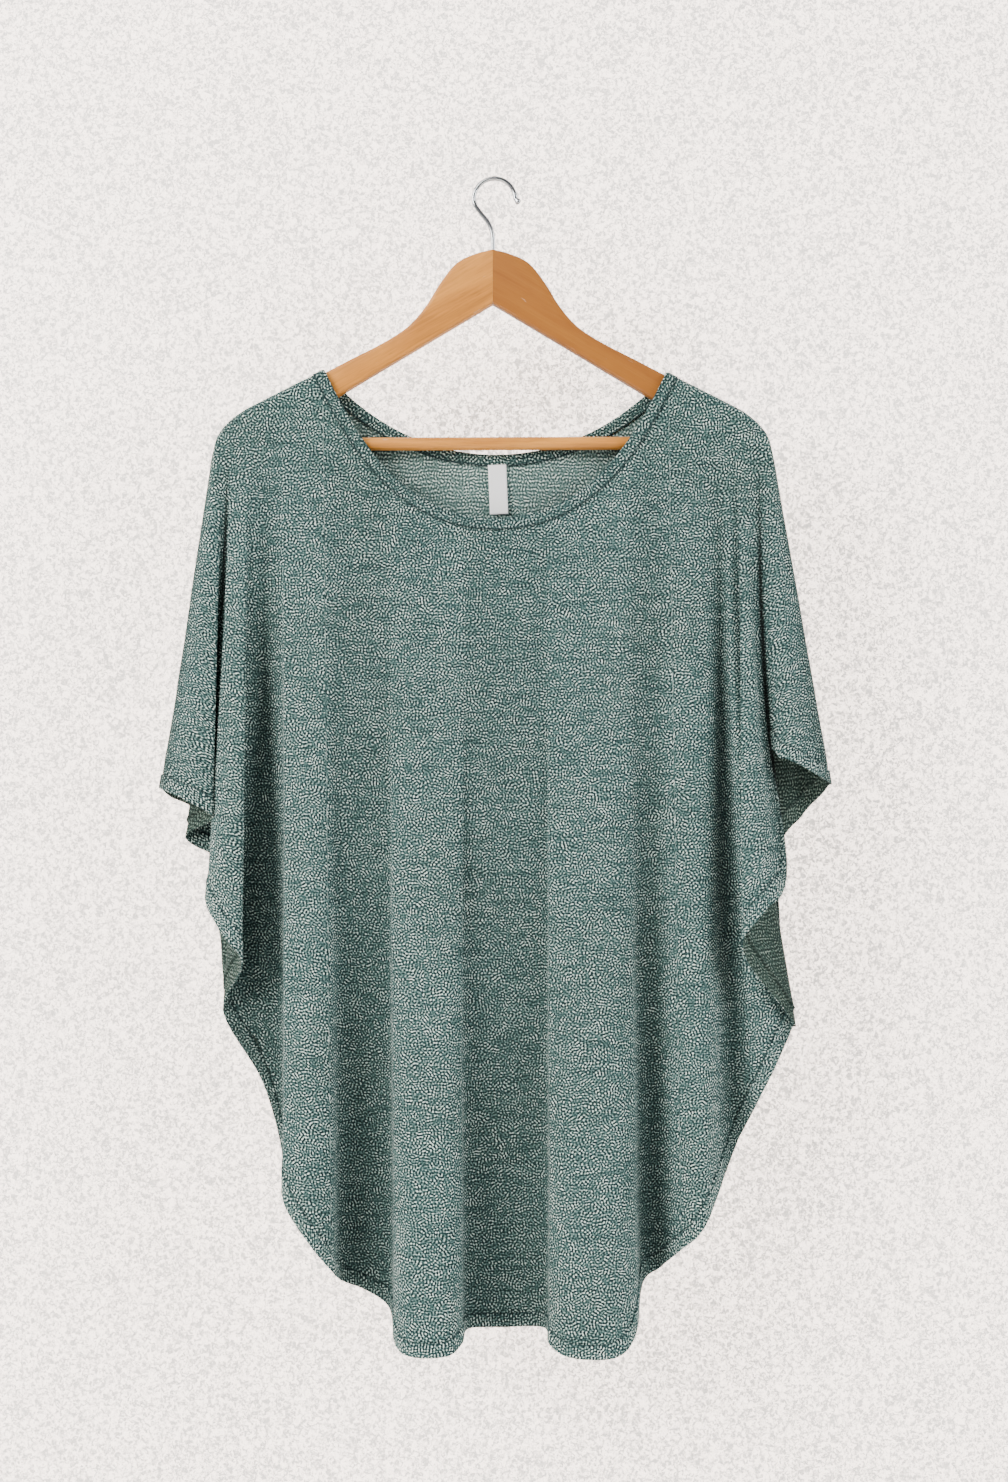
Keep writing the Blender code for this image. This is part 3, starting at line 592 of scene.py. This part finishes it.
def panelColumns(folds, side):
    names = ("topX", "edgeX", "edgeZ", "edgeY", "full", "flare", "topY")
    way = sides[side]
    rows = [list(row[1:]) + [way * hung["seamFlat" if "overarm" in row[0] else "depth"]] for row in folds]
    mirror = (1.0, 1.0, 1.0, -1.0, 1.0, 1.0, -1.0)  # past each end the cloth turns to the other side
    before, after = ([v * m for v, m in zip(row, mirror)] for row in (rows[1], rows[-2]))
    knots = [before] + rows + [after]
    columns = []
    for i in range(1, len(knots) - 2):
        atNeck = "neckPoint" in folds[i - 1][0] or "neckPoint" in folds[i][0]
        count = panelLook["columnsAtNeckPoint"] if atNeck else panelLook["columnsPerFold"][side]
        last = i == len(knots) - 3
        for k in range(count + (1 if last else 0)):
            values = [spline(*(knots[i + j][n] for j in (-1, 0, 1, 2)), k / count) for n in range(len(names))]
            columns.append(dict(zip(names, values)))
            near = [(1.0 - k / count) * (name in folds[i - 1][0]) + k / count * (name in folds[i][0])
                    for name in ("sideSeam", "underarm")]
            columns[-1]["free"] = 1.0 - smoothStep(near[0], *panelLook["sewn"])
            columns[-1]["slit"] = smoothStep(near[1], *panelLook["slitBeside"])
    return columns


def clothPoint(column, drop, side, belowSeam):
    length = column["topZ"] - column["edgeZ"]
    down = min(drop / length, 1.0)
    start = sides[side] * hung["seamFlat"]
    rounded = overArm(belowSeam + drop)
    hangY = start + (column["topY"] - start) * rounded
    grown = min(max((down - hung["foldStart"]) / (column["full"] - hung["foldStart"]), 0.0), 1.0)
    x = column["topX"] + (column["edgeX"] - column["topX"]) * down ** column["flare"]
    y = hangY + (column["edgeY"] - column["topY"]) * grown ** hung["foldPower"]
    return Vector((x, y, column["topZ"] - drop))


def panelGrid(folds, side):
    neck = neckLine(side)
    columns = panelColumns(folds, side)
    for column in columns:
        inNeck = abs(column["topX"] - hung["neckMiddle"]) < hung["neckHalf"]
        seam = shoulderHeight(column["topX"])
        column["topZ"] = heightOn(neck, column["topX"]) if inNeck else seam
        column["belowSeam"] = seam - column["topZ"]
    grid, hemPlaces = [], []
    for i, column in enumerate(columns):
        near = columns[max(i - 1, 0)], columns[min(i + 1, len(columns) - 1)]
        run = math.hypot(near[1]["edgeX"] - near[0]["edgeX"], near[1]["edgeY"] - near[0]["edgeY"])
        slope = (near[1]["edgeZ"] - near[0]["edgeZ"]) / max(run, 1e-5)
        column["slant"] = min(math.hypot(1.0, slope), panelLook["steepest"])
    spread = panelLook["slantSpread"]
    for i, column in enumerate(columns):
        around = [c["slant"] for c in columns[max(i - spread, 0):i + spread + 1]]
        slant = sum(around) / len(around)
        length = column["topZ"] - column["edgeZ"]
        tops = panelLook["topDrops"]
        hems = [length - fromEdge * slant for fromEdge in panelLook["hemRows"]]
        count = panelLook["bodyRows"]
        between = [tops[-1] + (hems[0] - tops[-1]) * (k + 1) / (count + 1) for k in range(count)]
        drops = tops + between + hems
        grid.append([clothPoint(column, drop, side, column["belowSeam"]) for drop in drops])
        hemPlaces.append([(length - drop) / slant for drop in drops])
    return grid, hemPlaces, columns


def waver(kind, side, across, down):  # one of the cloth's four unevennesses
    high, wavesAcross, wavesDown, ownSeed = panelLook[kind]
    seed = panelLook["seed"][side] + ownSeed
    return noise.noise(Vector((across * wavesAcross, down * wavesDown, seed))) * high


def detailAt(side, across, down, fromEdge, room):  # how far the cloth stands off its smooth form
    look = panelLook
    calm = smoothStep(down, *look["calmTop"]) * room
    ripple = waver("ripple", side, across, down) + waver("creases", side, across, down)
    pastStitch = fromEdge - look["hem"]
    nearHem = 1.0 - smoothStep(pastStitch, 0.0, look["puckerPast"])
    pucker = waver("pucker", side, across, fromEdge) * nearHem
    groove = math.exp(-(pastStitch / look["grooveWide"]) ** 2) * look["stitchGroove"]
    thick = look["hemThick"] * (1.0 - smoothStep(pastStitch, *look["hemEnds"]))
    wave = waver("edgeWave", side, across, down)
    wave *= (1.0 - smoothStep(fromEdge, 0.0, look["edgeWaveDown"])) * room
    return (ripple + wave) * calm + (pucker + thick - groove) * smoothStep(down, *look["plainTop"])


def buildPanel(name, folds, side, materials):
    grid, hemPlaces, columns = panelGrid(folds, side)
    width, height = len(grid), len(grid[0])
    across, paintedFoldShades, paintedSlitShades = acrossAndDepth(grid, side)
    alongHem = [0.0]
    for before, after in zip(grid, grid[1:]):
        alongHem.append(alongHem[-1] + (after[-1] - before[-1]).length)
    down = [[0.0] * height for _ in range(width)]
    for i in range(width):
        for row in range(1, height):
            down[i][row] = down[i][row - 1] + (grid[i][row] - grid[i][row - 1]).length
    bm = bmesh.new()
    # painted shade, per vertex: in fold valleys and on crests, and in slits
    paintedFoldLayer, paintedSlitLayer = (bm.verts.layers.float.new(stored) for stored in ("deep", "slit"))
    bmesh.ops.create_grid(bm, x_segments=width - 1, y_segments=height - 1, size=1.0)
    bm.verts.ensure_lookup_table()
    for index, vertex in enumerate(bm.verts):
        vertex.co = grid[index % width][index // width]
        vertex[paintedFoldLayer] = float(paintedFoldShades[index % width][index // width])
        vertex[paintedSlitLayer] = float(paintedSlitShades[index % width][index // width]) * columns[index % width]["slit"]
    bm.normal_update()
    turned = sides[side] * sum(f.normal.y * f.calc_area() for f in bm.faces) < 0.0
    if turned:
        bmesh.ops.reverse_faces(bm, faces=bm.faces)
        bm.normal_update()
    offs = []
    for index, vertex in enumerate(bm.verts):
        i, row = index % width, index // width
        room = foldRoom(grid, i, row) * columns[i]["free"]
        amount = detailAt(side, across[i][row], down[i][row], hemPlaces[i][row], room)
        offs.append(vertex.normal * amount)
    for vertex, off in zip(bm.verts, offs):
        vertex.co += off
    clothMap = bm.loops.layers.uv.new("cloth")
    hemMap = bm.loops.layers.uv.new("hem")
    for face in bm.faces:
        for loop in face.loops:
            i, row = loop.vert.index % width, loop.vert.index // width
            loop[clothMap].uv = (across[i][row], grid[i][0].z - down[i][row])
            loop[hemMap].uv = (alongHem[i], hemPlaces[i][row])
    seam = [e for e in bm.edges if e.is_boundary
            and all(abs(abs(v.co.y) - hung["seamFlat"]) < 1e-6 for v in e.verts)]
    made = bmesh.ops.extrude_edge_only(bm, edges=seam)
    for vertex in [g for g in made["geom"] if isinstance(g, bmesh.types.BMVert)]:
        vertex.co.y = sides[side] * hung["seamGap"] / 2
    piece = addPiece(name, finishMesh(bm, name), materials)
    addWall(piece, hung["cloth"], 1)
    widest = max(across[-1][row] - across[0][row] for row in range(height))
    longest = max(column[-1] for column in down)
    print(name, "columns", width, "rows", height, "widest", round(widest, 3), "longest", round(longest, 3))
    return piece, grid


def acrossAndDepth(grid, side):  # for each point: its way across the cloth, and its fold's two painted shades
    look = panelLook
    x, y, z = (np.array([[p[axis] for p in column] for column in grid]) for axis in range(3))
    levels = np.linspace(z.max(), z.min(), look["levels"])
    atLevels = [np.array([np.interp(-levels, -z[i], v[i]) for i in range(len(grid))]) for v in (x, y)]
    steps = np.hypot(*(np.diff(v, axis=0) for v in atLevels))
    run = np.vstack([np.zeros(len(levels)), np.cumsum(steps, axis=0)])
    run -= run[np.abs(x[:, -1]).argmin()]
    share = np.vstack([steps[:1], steps[:-1] + steps[1:], steps[-1:]]) + 1e-7
    out = sides[side] * atLevels[1]
    shade, closed = np.zeros_like(run), np.zeros_like(run)
    for k in range(len(levels)):
        apart = run[:, k][:, None] - run[:, k][None, :]
        for reach, depth in look["shades"]:
            found = np.tanh(look["shadeGain"] * belowNear(apart, reach, share[:, k], out[:, k]) / depth)
            shade[:, k] = np.where(np.abs(found) > np.abs(shade[:, k]), found, shade[:, k])
        reach, depth = look["slit"]
        beside = [belowNear(np.where(way * apart > 0.0, apart, 1.0), reach, share[:, k], out[:, k])
                  for way in (1, -1)]
        closed[:, k] = np.clip(np.minimum(*beside) / depth, 0.0, 1.0)
    # the lower folds' painted shade, partly painted higher up as well
    lower = shade[:, int(look["earlyFrom"] * len(levels))][:, None]
    soft = np.clip((levels[0] - levels) / look["earlyOver"], 0.0, 1.0) * lower * look["early"]
    shade = np.where(np.abs(soft) > np.abs(shade), soft, shade)
    found = [np.array([np.interp(-z[i], -levels, v[i]) for i in range(len(grid))])
             for v in (run, shade, closed)]
    return found[0], 0.5 + 0.5 * found[1], found[2]


def belowNear(apart, reach, share, out):  # how far each point lies below the cloth beside it
    weight = np.exp(-0.5 * (apart / reach) ** 2) * share[None, :]
    return (weight @ out) / (weight.sum(axis=1) + 1e-12) - out


def foldRoom(grid, i, row):  # 1 on open cloth, near 0 in a tight turn, where there is no room for ripples
    span = panelLook["turnSpan"]
    before, after = grid[max(i - span, 0)][row], grid[min(i + span, len(grid) - 1)][row]
    one, two = grid[i][row] - before, after - grid[i][row]
    if one.length < 1e-6 or two.length < 1e-6:
        return 1.0
    return smoothStep(one.normalized().dot(two.normalized()), *panelLook["openTurn"])


# Neck binding

bandLook = {
    "thick": 0.0007,
    "gap": 0.0004,  # between it and the panel inside it
    "wide": 0.0085,  # from the neck edge to its own edge
    "top": 0.0016,  # how far it stands over the neck edge
    "around": 0.0217,  # way over it, from edge to edge
    "stitchIn": 0.0007,  # its stitched line, from each edge
    "turn": 0.0180,  # drop over which it turns from the arm's line to the neck's
    "pucker": (0.00012, 160.0),  # height, and waves a metre
    "step": 0.0005,  # for measuring the neck's direction
    # Its cut: shares of the width or the top, and of the distance from the panel's middle
    "face": [(1.0, 0.98), (0.93, 1.12), (0.84, 0.94), (0.5, 1.0), (0.2, 1.02), (0.0, 1.0)],
    "roll": [(0.62, 0.78), (0.93, 0.42), (1.0, 0.0)],
}


def neckStations(grid, side):  # points of the neck edge and the way into the panel at each
    neck = neckLine(side)
    limit = hung["neckHalf"] + 1e-5
    stations = []
    for point in [c[0] for c in grid if abs(c[0].x - hung["neckMiddle"]) < limit]:
        left = max(point.x - bandLook["step"], neck[0][0])
        right = min(point.x + bandLook["step"], neck[-1][0])
        along = Vector((right - left, 0.0, heightOn(neck, right) - heightOn(neck, left)))
        across = Vector((along.z, 0.0, -along.x)).normalized()
        outer = point.x + math.copysign(bandLook["wide"], point.x - hung["neckMiddle"])
        rise = shoulderHeight(outer) - shoulderHeight(point.x)
        downArm = Vector((outer - point.x, 0.0, rise)).normalized()
        below = shoulderHeight(point.x) - point.z
        free = min(max((below - hung["armRound"]) / bandLook["turn"], 0.0), 1.0)
        stations.append((point, downArm.lerp(across, free).normalized()))
    return stations


def buildBand(name, frontGrid, backGrid, material):
    stations = neckStations(frontGrid, "front") + neckStations(backGrid, "back")[::-1]
    reach = hung["cloth"] / 2 + bandLook["gap"] + bandLook["thick"] / 2
    count = len(stations)
    shape = [(bandLook["wide"] * into, out) for into, out in bandLook["face"]]
    shape += [(-bandLook["top"] * over, out) for over, out in bandLook["roll"]]
    shape += [(into, -out) for into, out in shape[-2::-1]]
    pucker, puckers = bandLook["pucker"]
    bm = bmesh.new()
    clothMap = bm.loops.layers.uv.new("cloth")
    rings, lengths, run = [], [], 0.0
    for i, (point, into) in enumerate(stations):
        along = stations[(i + 1) % count][0] - stations[i - 1][0]
        out = into.cross(along).normalized()
        lift = 1.0 + noise.noise(Vector((run * puckers, 2.0, 0.0))) * pucker / reach
        rings.append([bm.verts.new(point + into * a + out * (reach * b * lift)) for a, b in shape])
        lengths.append(run)
        run += (stations[(i + 1) % count][0] - point).length
    places = [0.0]
    for a, b in zip(shape, shape[1:]):
        places.append(places[-1] + math.hypot(b[0] - a[0], (b[1] - a[1]) * reach))
    for i in range(count):
        here, there = rings[i], rings[(i + 1) % count]
        ends = lengths[i], lengths[i + 1] if i + 1 < count else run
        for k in range(len(shape) - 1):
            face = bm.faces.new((here[k], there[k], there[k + 1], here[k + 1]))
            corners = [(ends[0], places[k]), (ends[1], places[k]),
                       (ends[1], places[k + 1]), (ends[0], places[k + 1])]
            for loop, corner in zip(face.loops, corners):
                loop[clothMap].uv = corner
    bmesh.ops.recalc_face_normals(bm, faces=bm.faces)
    piece = addPiece(name, finishMesh(bm, name), [material])
    addWall(piece, bandLook["thick"])
    print(name, "stations", count, "length", round(run, 3))
    return piece


# Label under the back of the neck, left blank

labelLook = {
    "size": (0.0156, 0.0425), "thick": 0.0005,
    "top": (0.0030, -0.2405), "lean": -2.4,
    "bend": (0.0016, 0.35, 0.9),  # how far the foot curls, and more so at one corner and at both sides
    "crease": (0.00025, 0.06, 0.02),  # under the seam: its depth, place and width
    "white": ((0.91, 0.91, 0.92, 1.0), (0.98, 0.98, 0.97, 1.0)),
    "threads": 340.0,  # a Wave texture's scale
}


def labelFinish():
    look = labelLook
    finish = Finish("labelWeave", Sheen_Weight=0.15, Specular_IOR_Level=0.35)
    flat = finish.map("cloth")
    warp, weft = (finish.rows(flat, way, look["threads"], sway=0.3) for way in "XY")
    weave = warp * 0.5 + weft * 0.5
    shade = finish.noise(flat, 60.0)
    colour = finish.mix(finish.steps(weave * 0.6 + shade * 0.4, 0.2, 0.8), *look["white"])
    return finish.wear(colour, finish.steps(shade, 0.3, 0.7, 0.42, 0.58), finish.bumps(weave, 0.00012, 0.6))


def buildLabel(name, material):
    width, height = labelLook["size"]
    bm = bmesh.new()
    bmesh.ops.create_grid(bm, x_segments=10, y_segments=28, size=0.5)
    clothMap = bm.loops.layers.uv.new("cloth")
    for face in bm.faces:
        for loop in face.loops:
            loop[clothMap].uv = (loop.vert.co.x * width, loop.vert.co.y * height)
    innerFace = hung["depth"] - hung["cloth"] / 2 - bandLook["gap"] - bandLook["thick"]
    depth = innerFace - hung["seamGap"] - labelLook["thick"] / 2
    turn = Matrix.Rotation(math.radians(labelLook["lean"]), 3, "Y")
    x, top = labelLook["top"]
    curl, corner, edges = labelLook["bend"]
    creased, creaseAt, creaseWide = labelLook["crease"]
    for vertex in bm.verts:
        across, down = vertex.co.x, 0.5 - vertex.co.y
        lift = curl * (down ** 2 + corner * across * down + edges * (across * down) ** 2)
        fold = creased * math.exp(-((down - creaseAt) / creaseWide) ** 2)
        vertex.co = turn @ Vector((across * width, 0.0, -(down - 0.5) * height))
        vertex.co += Vector((x, depth - lift - fold, top - height / 2))
    bmesh.ops.recalc_face_normals(bm, faces=bm.faces)
    piece = addPiece(name, finishMesh(bm, name), [material])
    addWall(piece, labelLook["thick"])
    print(name, "blank")
    return piece


# Wooden hanger and its bar

hangerLook = {
    "thick": 0.0120, "edge": 0.0026, "edgeSteps": 5,  # edge is the rounding of the arms' edges
    "jointGap": 0.00006,
    "barRadius": 0.0055, "barHeight": -0.2234, "barHalf": 0.2055,
    "barEdge": 0.0008,
    "barCuts": 48,
    "barWave": (0.0004, 9.0, 0.0002),  # turned wood is never quite straight
    "sharpFrom": {"arm": 35.0, "bar": 40.0},
}
armTop = [
    (0.0, -0.0594), (0.0160, -0.0637), (0.0310, -0.0715), (0.0440, -0.0874), (0.0565, -0.1074),
    (0.0690, -0.1223), (0.0815, -0.1320), (0.0985, -0.1418), (0.1200, -0.1526), (0.1443, -0.1653),
    (0.1698, -0.1779), (0.1960, -0.1912), (0.2090, -0.1978),
]
armEnd = [(0.2150, -0.2040), (0.2165, -0.2200), (0.2150, -0.2310), (0.2085, -0.2355)]
armUnder = [
    (0.1990, -0.2355), (0.1930, -0.2320), (0.1920, -0.2150), (0.1650, -0.1998), (0.1330, -0.1848),
    (0.0800, -0.1530), (0.0300, -0.1232), (0.0, -0.1054),
]


def buildArm(name, hand, material):
    half = hangerLook["thick"] / 2
    line = smoothLine(armTop, steps=5) + [Vector(p) for p in armEnd + armUnder]
    bm = bmesh.new()
    joint = hung["hangerX"] + hand * hangerLook["jointGap"] / 2
    outline = [bm.verts.new((joint + hand * p.x, -half, p.y)) for p in line]
    made = bmesh.ops.extrude_face_region(bm, geom=[bm.faces.new(outline)])
    moved = [g for g in made["geom"] if isinstance(g, bmesh.types.BMVert)]
    bmesh.ops.translate(bm, vec=(0.0, 2.0 * half, 0.0), verts=moved)
    bmesh.ops.recalc_face_normals(bm, faces=bm.faces)
    around = [e for e in bm.edges if abs(e.verts[0].co.y - e.verts[1].co.y) < 1e-6
              and not all(abs(v.co.x - joint) < 1e-6 for v in e.verts)]  # the joint stays flush
    bmesh.ops.bevel(bm, geom=around, offset=hangerLook["edge"], offset_type="OFFSET", affect="EDGES",
                    segments=hangerLook["edgeSteps"], profile=0.5, material=-1)
    mesh = finishMesh(bm, name)
    mesh.set_sharp_from_angle(angle=math.radians(hangerLook["sharpFrom"]["arm"]))
    return addPiece(name, mesh, [material])


def buildBar(name, material):
    look = hangerLook
    bm = bmesh.new()
    bmesh.ops.create_cone(bm, cap_ends=True, segments=48, radius1=look["barRadius"],
                          radius2=look["barRadius"], depth=2.0 * look["barHalf"])
    ends = [e for e in bm.edges if abs(e.verts[0].co.z - e.verts[1].co.z) < 1e-6]
    bmesh.ops.bevel(bm, geom=ends, offset=look["barEdge"], offset_type="OFFSET", affect="EDGES",
                    segments=3, profile=0.5, material=-1)
    lines = [e for e in bm.edges if abs(e.verts[0].co.z - e.verts[1].co.z) > look["barHalf"]]
    bmesh.ops.subdivide_edges(bm, edges=lines, cuts=look["barCuts"])
    centre = Matrix.Translation((hung["hangerX"], 0.0, look["barHeight"]))
    bmesh.ops.transform(bm, matrix=centre @ Matrix.Rotation(math.pi / 2, 4, "Y"), verts=bm.verts)
    high, bends, lower = look["barWave"]
    for vertex in bm.verts:
        vertex.co.z += high * math.sin(vertex.co.x * bends) - lower
    mesh = finishMesh(bm, name)
    mesh.set_sharp_from_angle(angle=math.radians(look["sharpFrom"]["bar"]))
    return addPiece(name, mesh, [material])


# Wire hook

hookLook = {
    "wire": 0.00185,  # its radius
    "bend": 0.0177,  # radius of the loop
    "from": 186.0, "to": 2.0, "steps": 48,  # degrees round the loop
    "stem": [(0.0, -0.0850), (0.0, -0.0660), (0.0002, -0.0540), (-0.0004, -0.0450),
             (-0.0037, -0.0360), (-0.0100, -0.0280), (-0.0147, -0.0215)],  # beside the hanger's middle
    "ballEnd": [(0.0006, -0.0007, 1.02), (0.0012, -0.0014, 1.15), (0.0019, -0.0022, 1.36),
                (0.0026, -0.0030, 1.45), (0.0031, -0.0036, 1.22), (0.0034, -0.0039, 0.80)],  # past the loop
    "bright": (0.66, 0.67, 0.68, 1.0), "dull": (0.48, 0.49, 0.51, 1.0),
}


def wireFinish():
    finish = Finish("hookWire", Metallic=1.0)
    flecks = finish.noise(finish.map(), 700.0)
    haze = finish.noise(finish.placed(finish.map(), (60.0, 60.0, 14.0)), 1.0, 3.0)
    colour = finish.mix(finish.steps(haze, 0.35, 0.70), hookLook["bright"], hookLook["dull"])
    return finish.wear(colour, finish.steps(haze, 0.3, 0.7, 0.15, 0.26), finish.bumps(flecks, 0.00004, 0.3))


def buildHook(name, material):
    look = hookLook
    line = smoothLine([(hung["hangerX"] + beside, z) for beside, z in look["stem"]], steps=6)
    middle = look["wire"] - look["bend"]
    first, last = math.radians(look["from"]), math.radians(look["to"])
    for k in range(look["steps"] + 1):
        angle = first + (last - first) * k / look["steps"]
        line.append(Vector((look["bend"] * math.cos(angle), middle + look["bend"] * math.sin(angle))))
    end = line[-1]
    sizes = [1.0] * len(line) + [size for *off, size in look["ballEnd"]]
    line += [end + Vector(off) for *off, size in look["ballEnd"]]
    curve = bpy.data.curves.new(name, "CURVE")
    curve.dimensions = "3D"
    curve.bevel_depth = look["wire"]
    curve.bevel_resolution = 8
    curve.use_fill_caps = True
    wire = curve.splines.new("POLY")
    wire.points.add(len(line) - 1)
    wire.use_smooth = True
    for point, place, size in zip(wire.points, line, sizes):
        point.co = (place.x, 0.0, place.y, 1.0)
        point.radius = size
    hook = bpy.data.objects.new(name, curve)
    curve.materials.append(material)
    bpy.context.scene.collection.objects.link(hook)
    return hook


# Floor and backdrop

stageLook = {
    "wallY": 0.085, "floorZ": -1.35, "wide": 6.0,
    "colour": (0.93, 0.905, 0.88, 1.0),
    "glow": (1.0, 0.82, 0.70, 1.0), "glowLow": (0.15, 0.123, 0.105, 1.0), "glowStrength": 3.9,
    "plaster": 300.0,
}


def stageFinish(name, seeThrough):
    look = stageLook
    finish = Finish(name, Roughness=0.9, Specular_IOR_Level=0.1)
    plaster = finish.noise(finish.map(), look["plaster"], 3.0, 0.65, 1.0)
    finish.wear(look["colour"], None, finish.bumps(plaster, 0.0008, 0.4))
    solid = Wire(finish, finish.shader.outputs["BSDF"])
    shade = finish.ramp(finish.steps(plaster, 0.40, 0.58), [(0.0, look["glowLow"]), (1.0, look["glow"])])
    glow = finish.node("ShaderNodeEmission", None, {"Color": shade, "Strength": look["glowStrength"]})
    lit = finish.node("ShaderNodeAddShader", None, {0: solid, 1: glow})
    seen = finish.node("ShaderNodeLightPath", out="Is Camera Ray")
    shown = finish.node("ShaderNodeMixShader", None, {0: seen, 1: solid, 2: lit})
    if seeThrough:  # a wall that lights pass and that is clear from behind
        behind = finish.node("ShaderNodeNewGeometry", out="Backfacing")
        shadowRay = finish.node("ShaderNodeLightPath", out="Is Shadow Ray")
        clear = finish.node("ShaderNodeBsdfTransparent")
        both = behind.calc("MAXIMUM", behind, shadowRay)
        shown = finish.node("ShaderNodeMixShader", None, {0: both, 1: shown, 2: clear})
    finish.plug(finish.tree.nodes["Material Output"].inputs["Surface"], shown)
    return finish.material


def addStage():
    look = stageLook
    half = look["wide"] / 2
    for name, centre, turn in (("floor", (0.0, 0.0, look["floorZ"]), 0.0),
                               ("backWall", (0.0, look["wallY"], look["floorZ"] + half), math.pi / 2)):
        bm = bmesh.new()
        bmesh.ops.create_grid(bm, x_segments=1, y_segments=1, size=half)
        place = Matrix.Translation(centre) @ Matrix.Rotation(turn, 4, "X")
        bmesh.ops.transform(bm, matrix=place, verts=bm.verts)
        addPiece(name, finishMesh(bm, name, False), [stageFinish(name, turn > 0.0)])


# Making it all

def dress(piece, nodes):
    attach(piece, "root")
    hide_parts(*nodes)


addCamera()
addLights()
addStage()
print("stage, camera and light ready")

outerKnit = knitFinish("knitOuter", "outer")
innerKnit = knitFinish("knitInner", "inner")
frontPanel, frontGrid = buildPanel("frontPanel", frontFolds, "front", [outerKnit, innerKnit])
backPanel, backGrid = buildPanel("backPanel", backFolds, "back", [outerKnit, innerKnit])
band = buildBand("neckBinding", frontGrid, backGrid, knitFinish("knitBinding", "binding"))
label = buildLabel("neckLabel", labelFinish())
dress(frontPanel, ["front"])
dress(backPanel, ["back"])
dress(band, ["neckband"])
dress(label, ["label"])
print("cloth built")

arms = ["hanger_arm_left", "hanger_arm_right"]
lean = math.radians(woodLook["lean"])
dress(buildArm("armLeft", -1.0, woodFinish("woodLeft", lean, darker=0.02)), [arms[0]])
dress(buildArm("armRight", 1.0, woodFinish("woodRight", -lean, darker=0.74, seed=3.7)), [arms[1]])
dress(buildBar("hangerBar", woodFinish("woodBar", 0.0, seed=1.9)), ["trouser_bar"])
dress(buildHook("hookWire", wireFinish()), ["hanger_hook"])
print("hanger built")
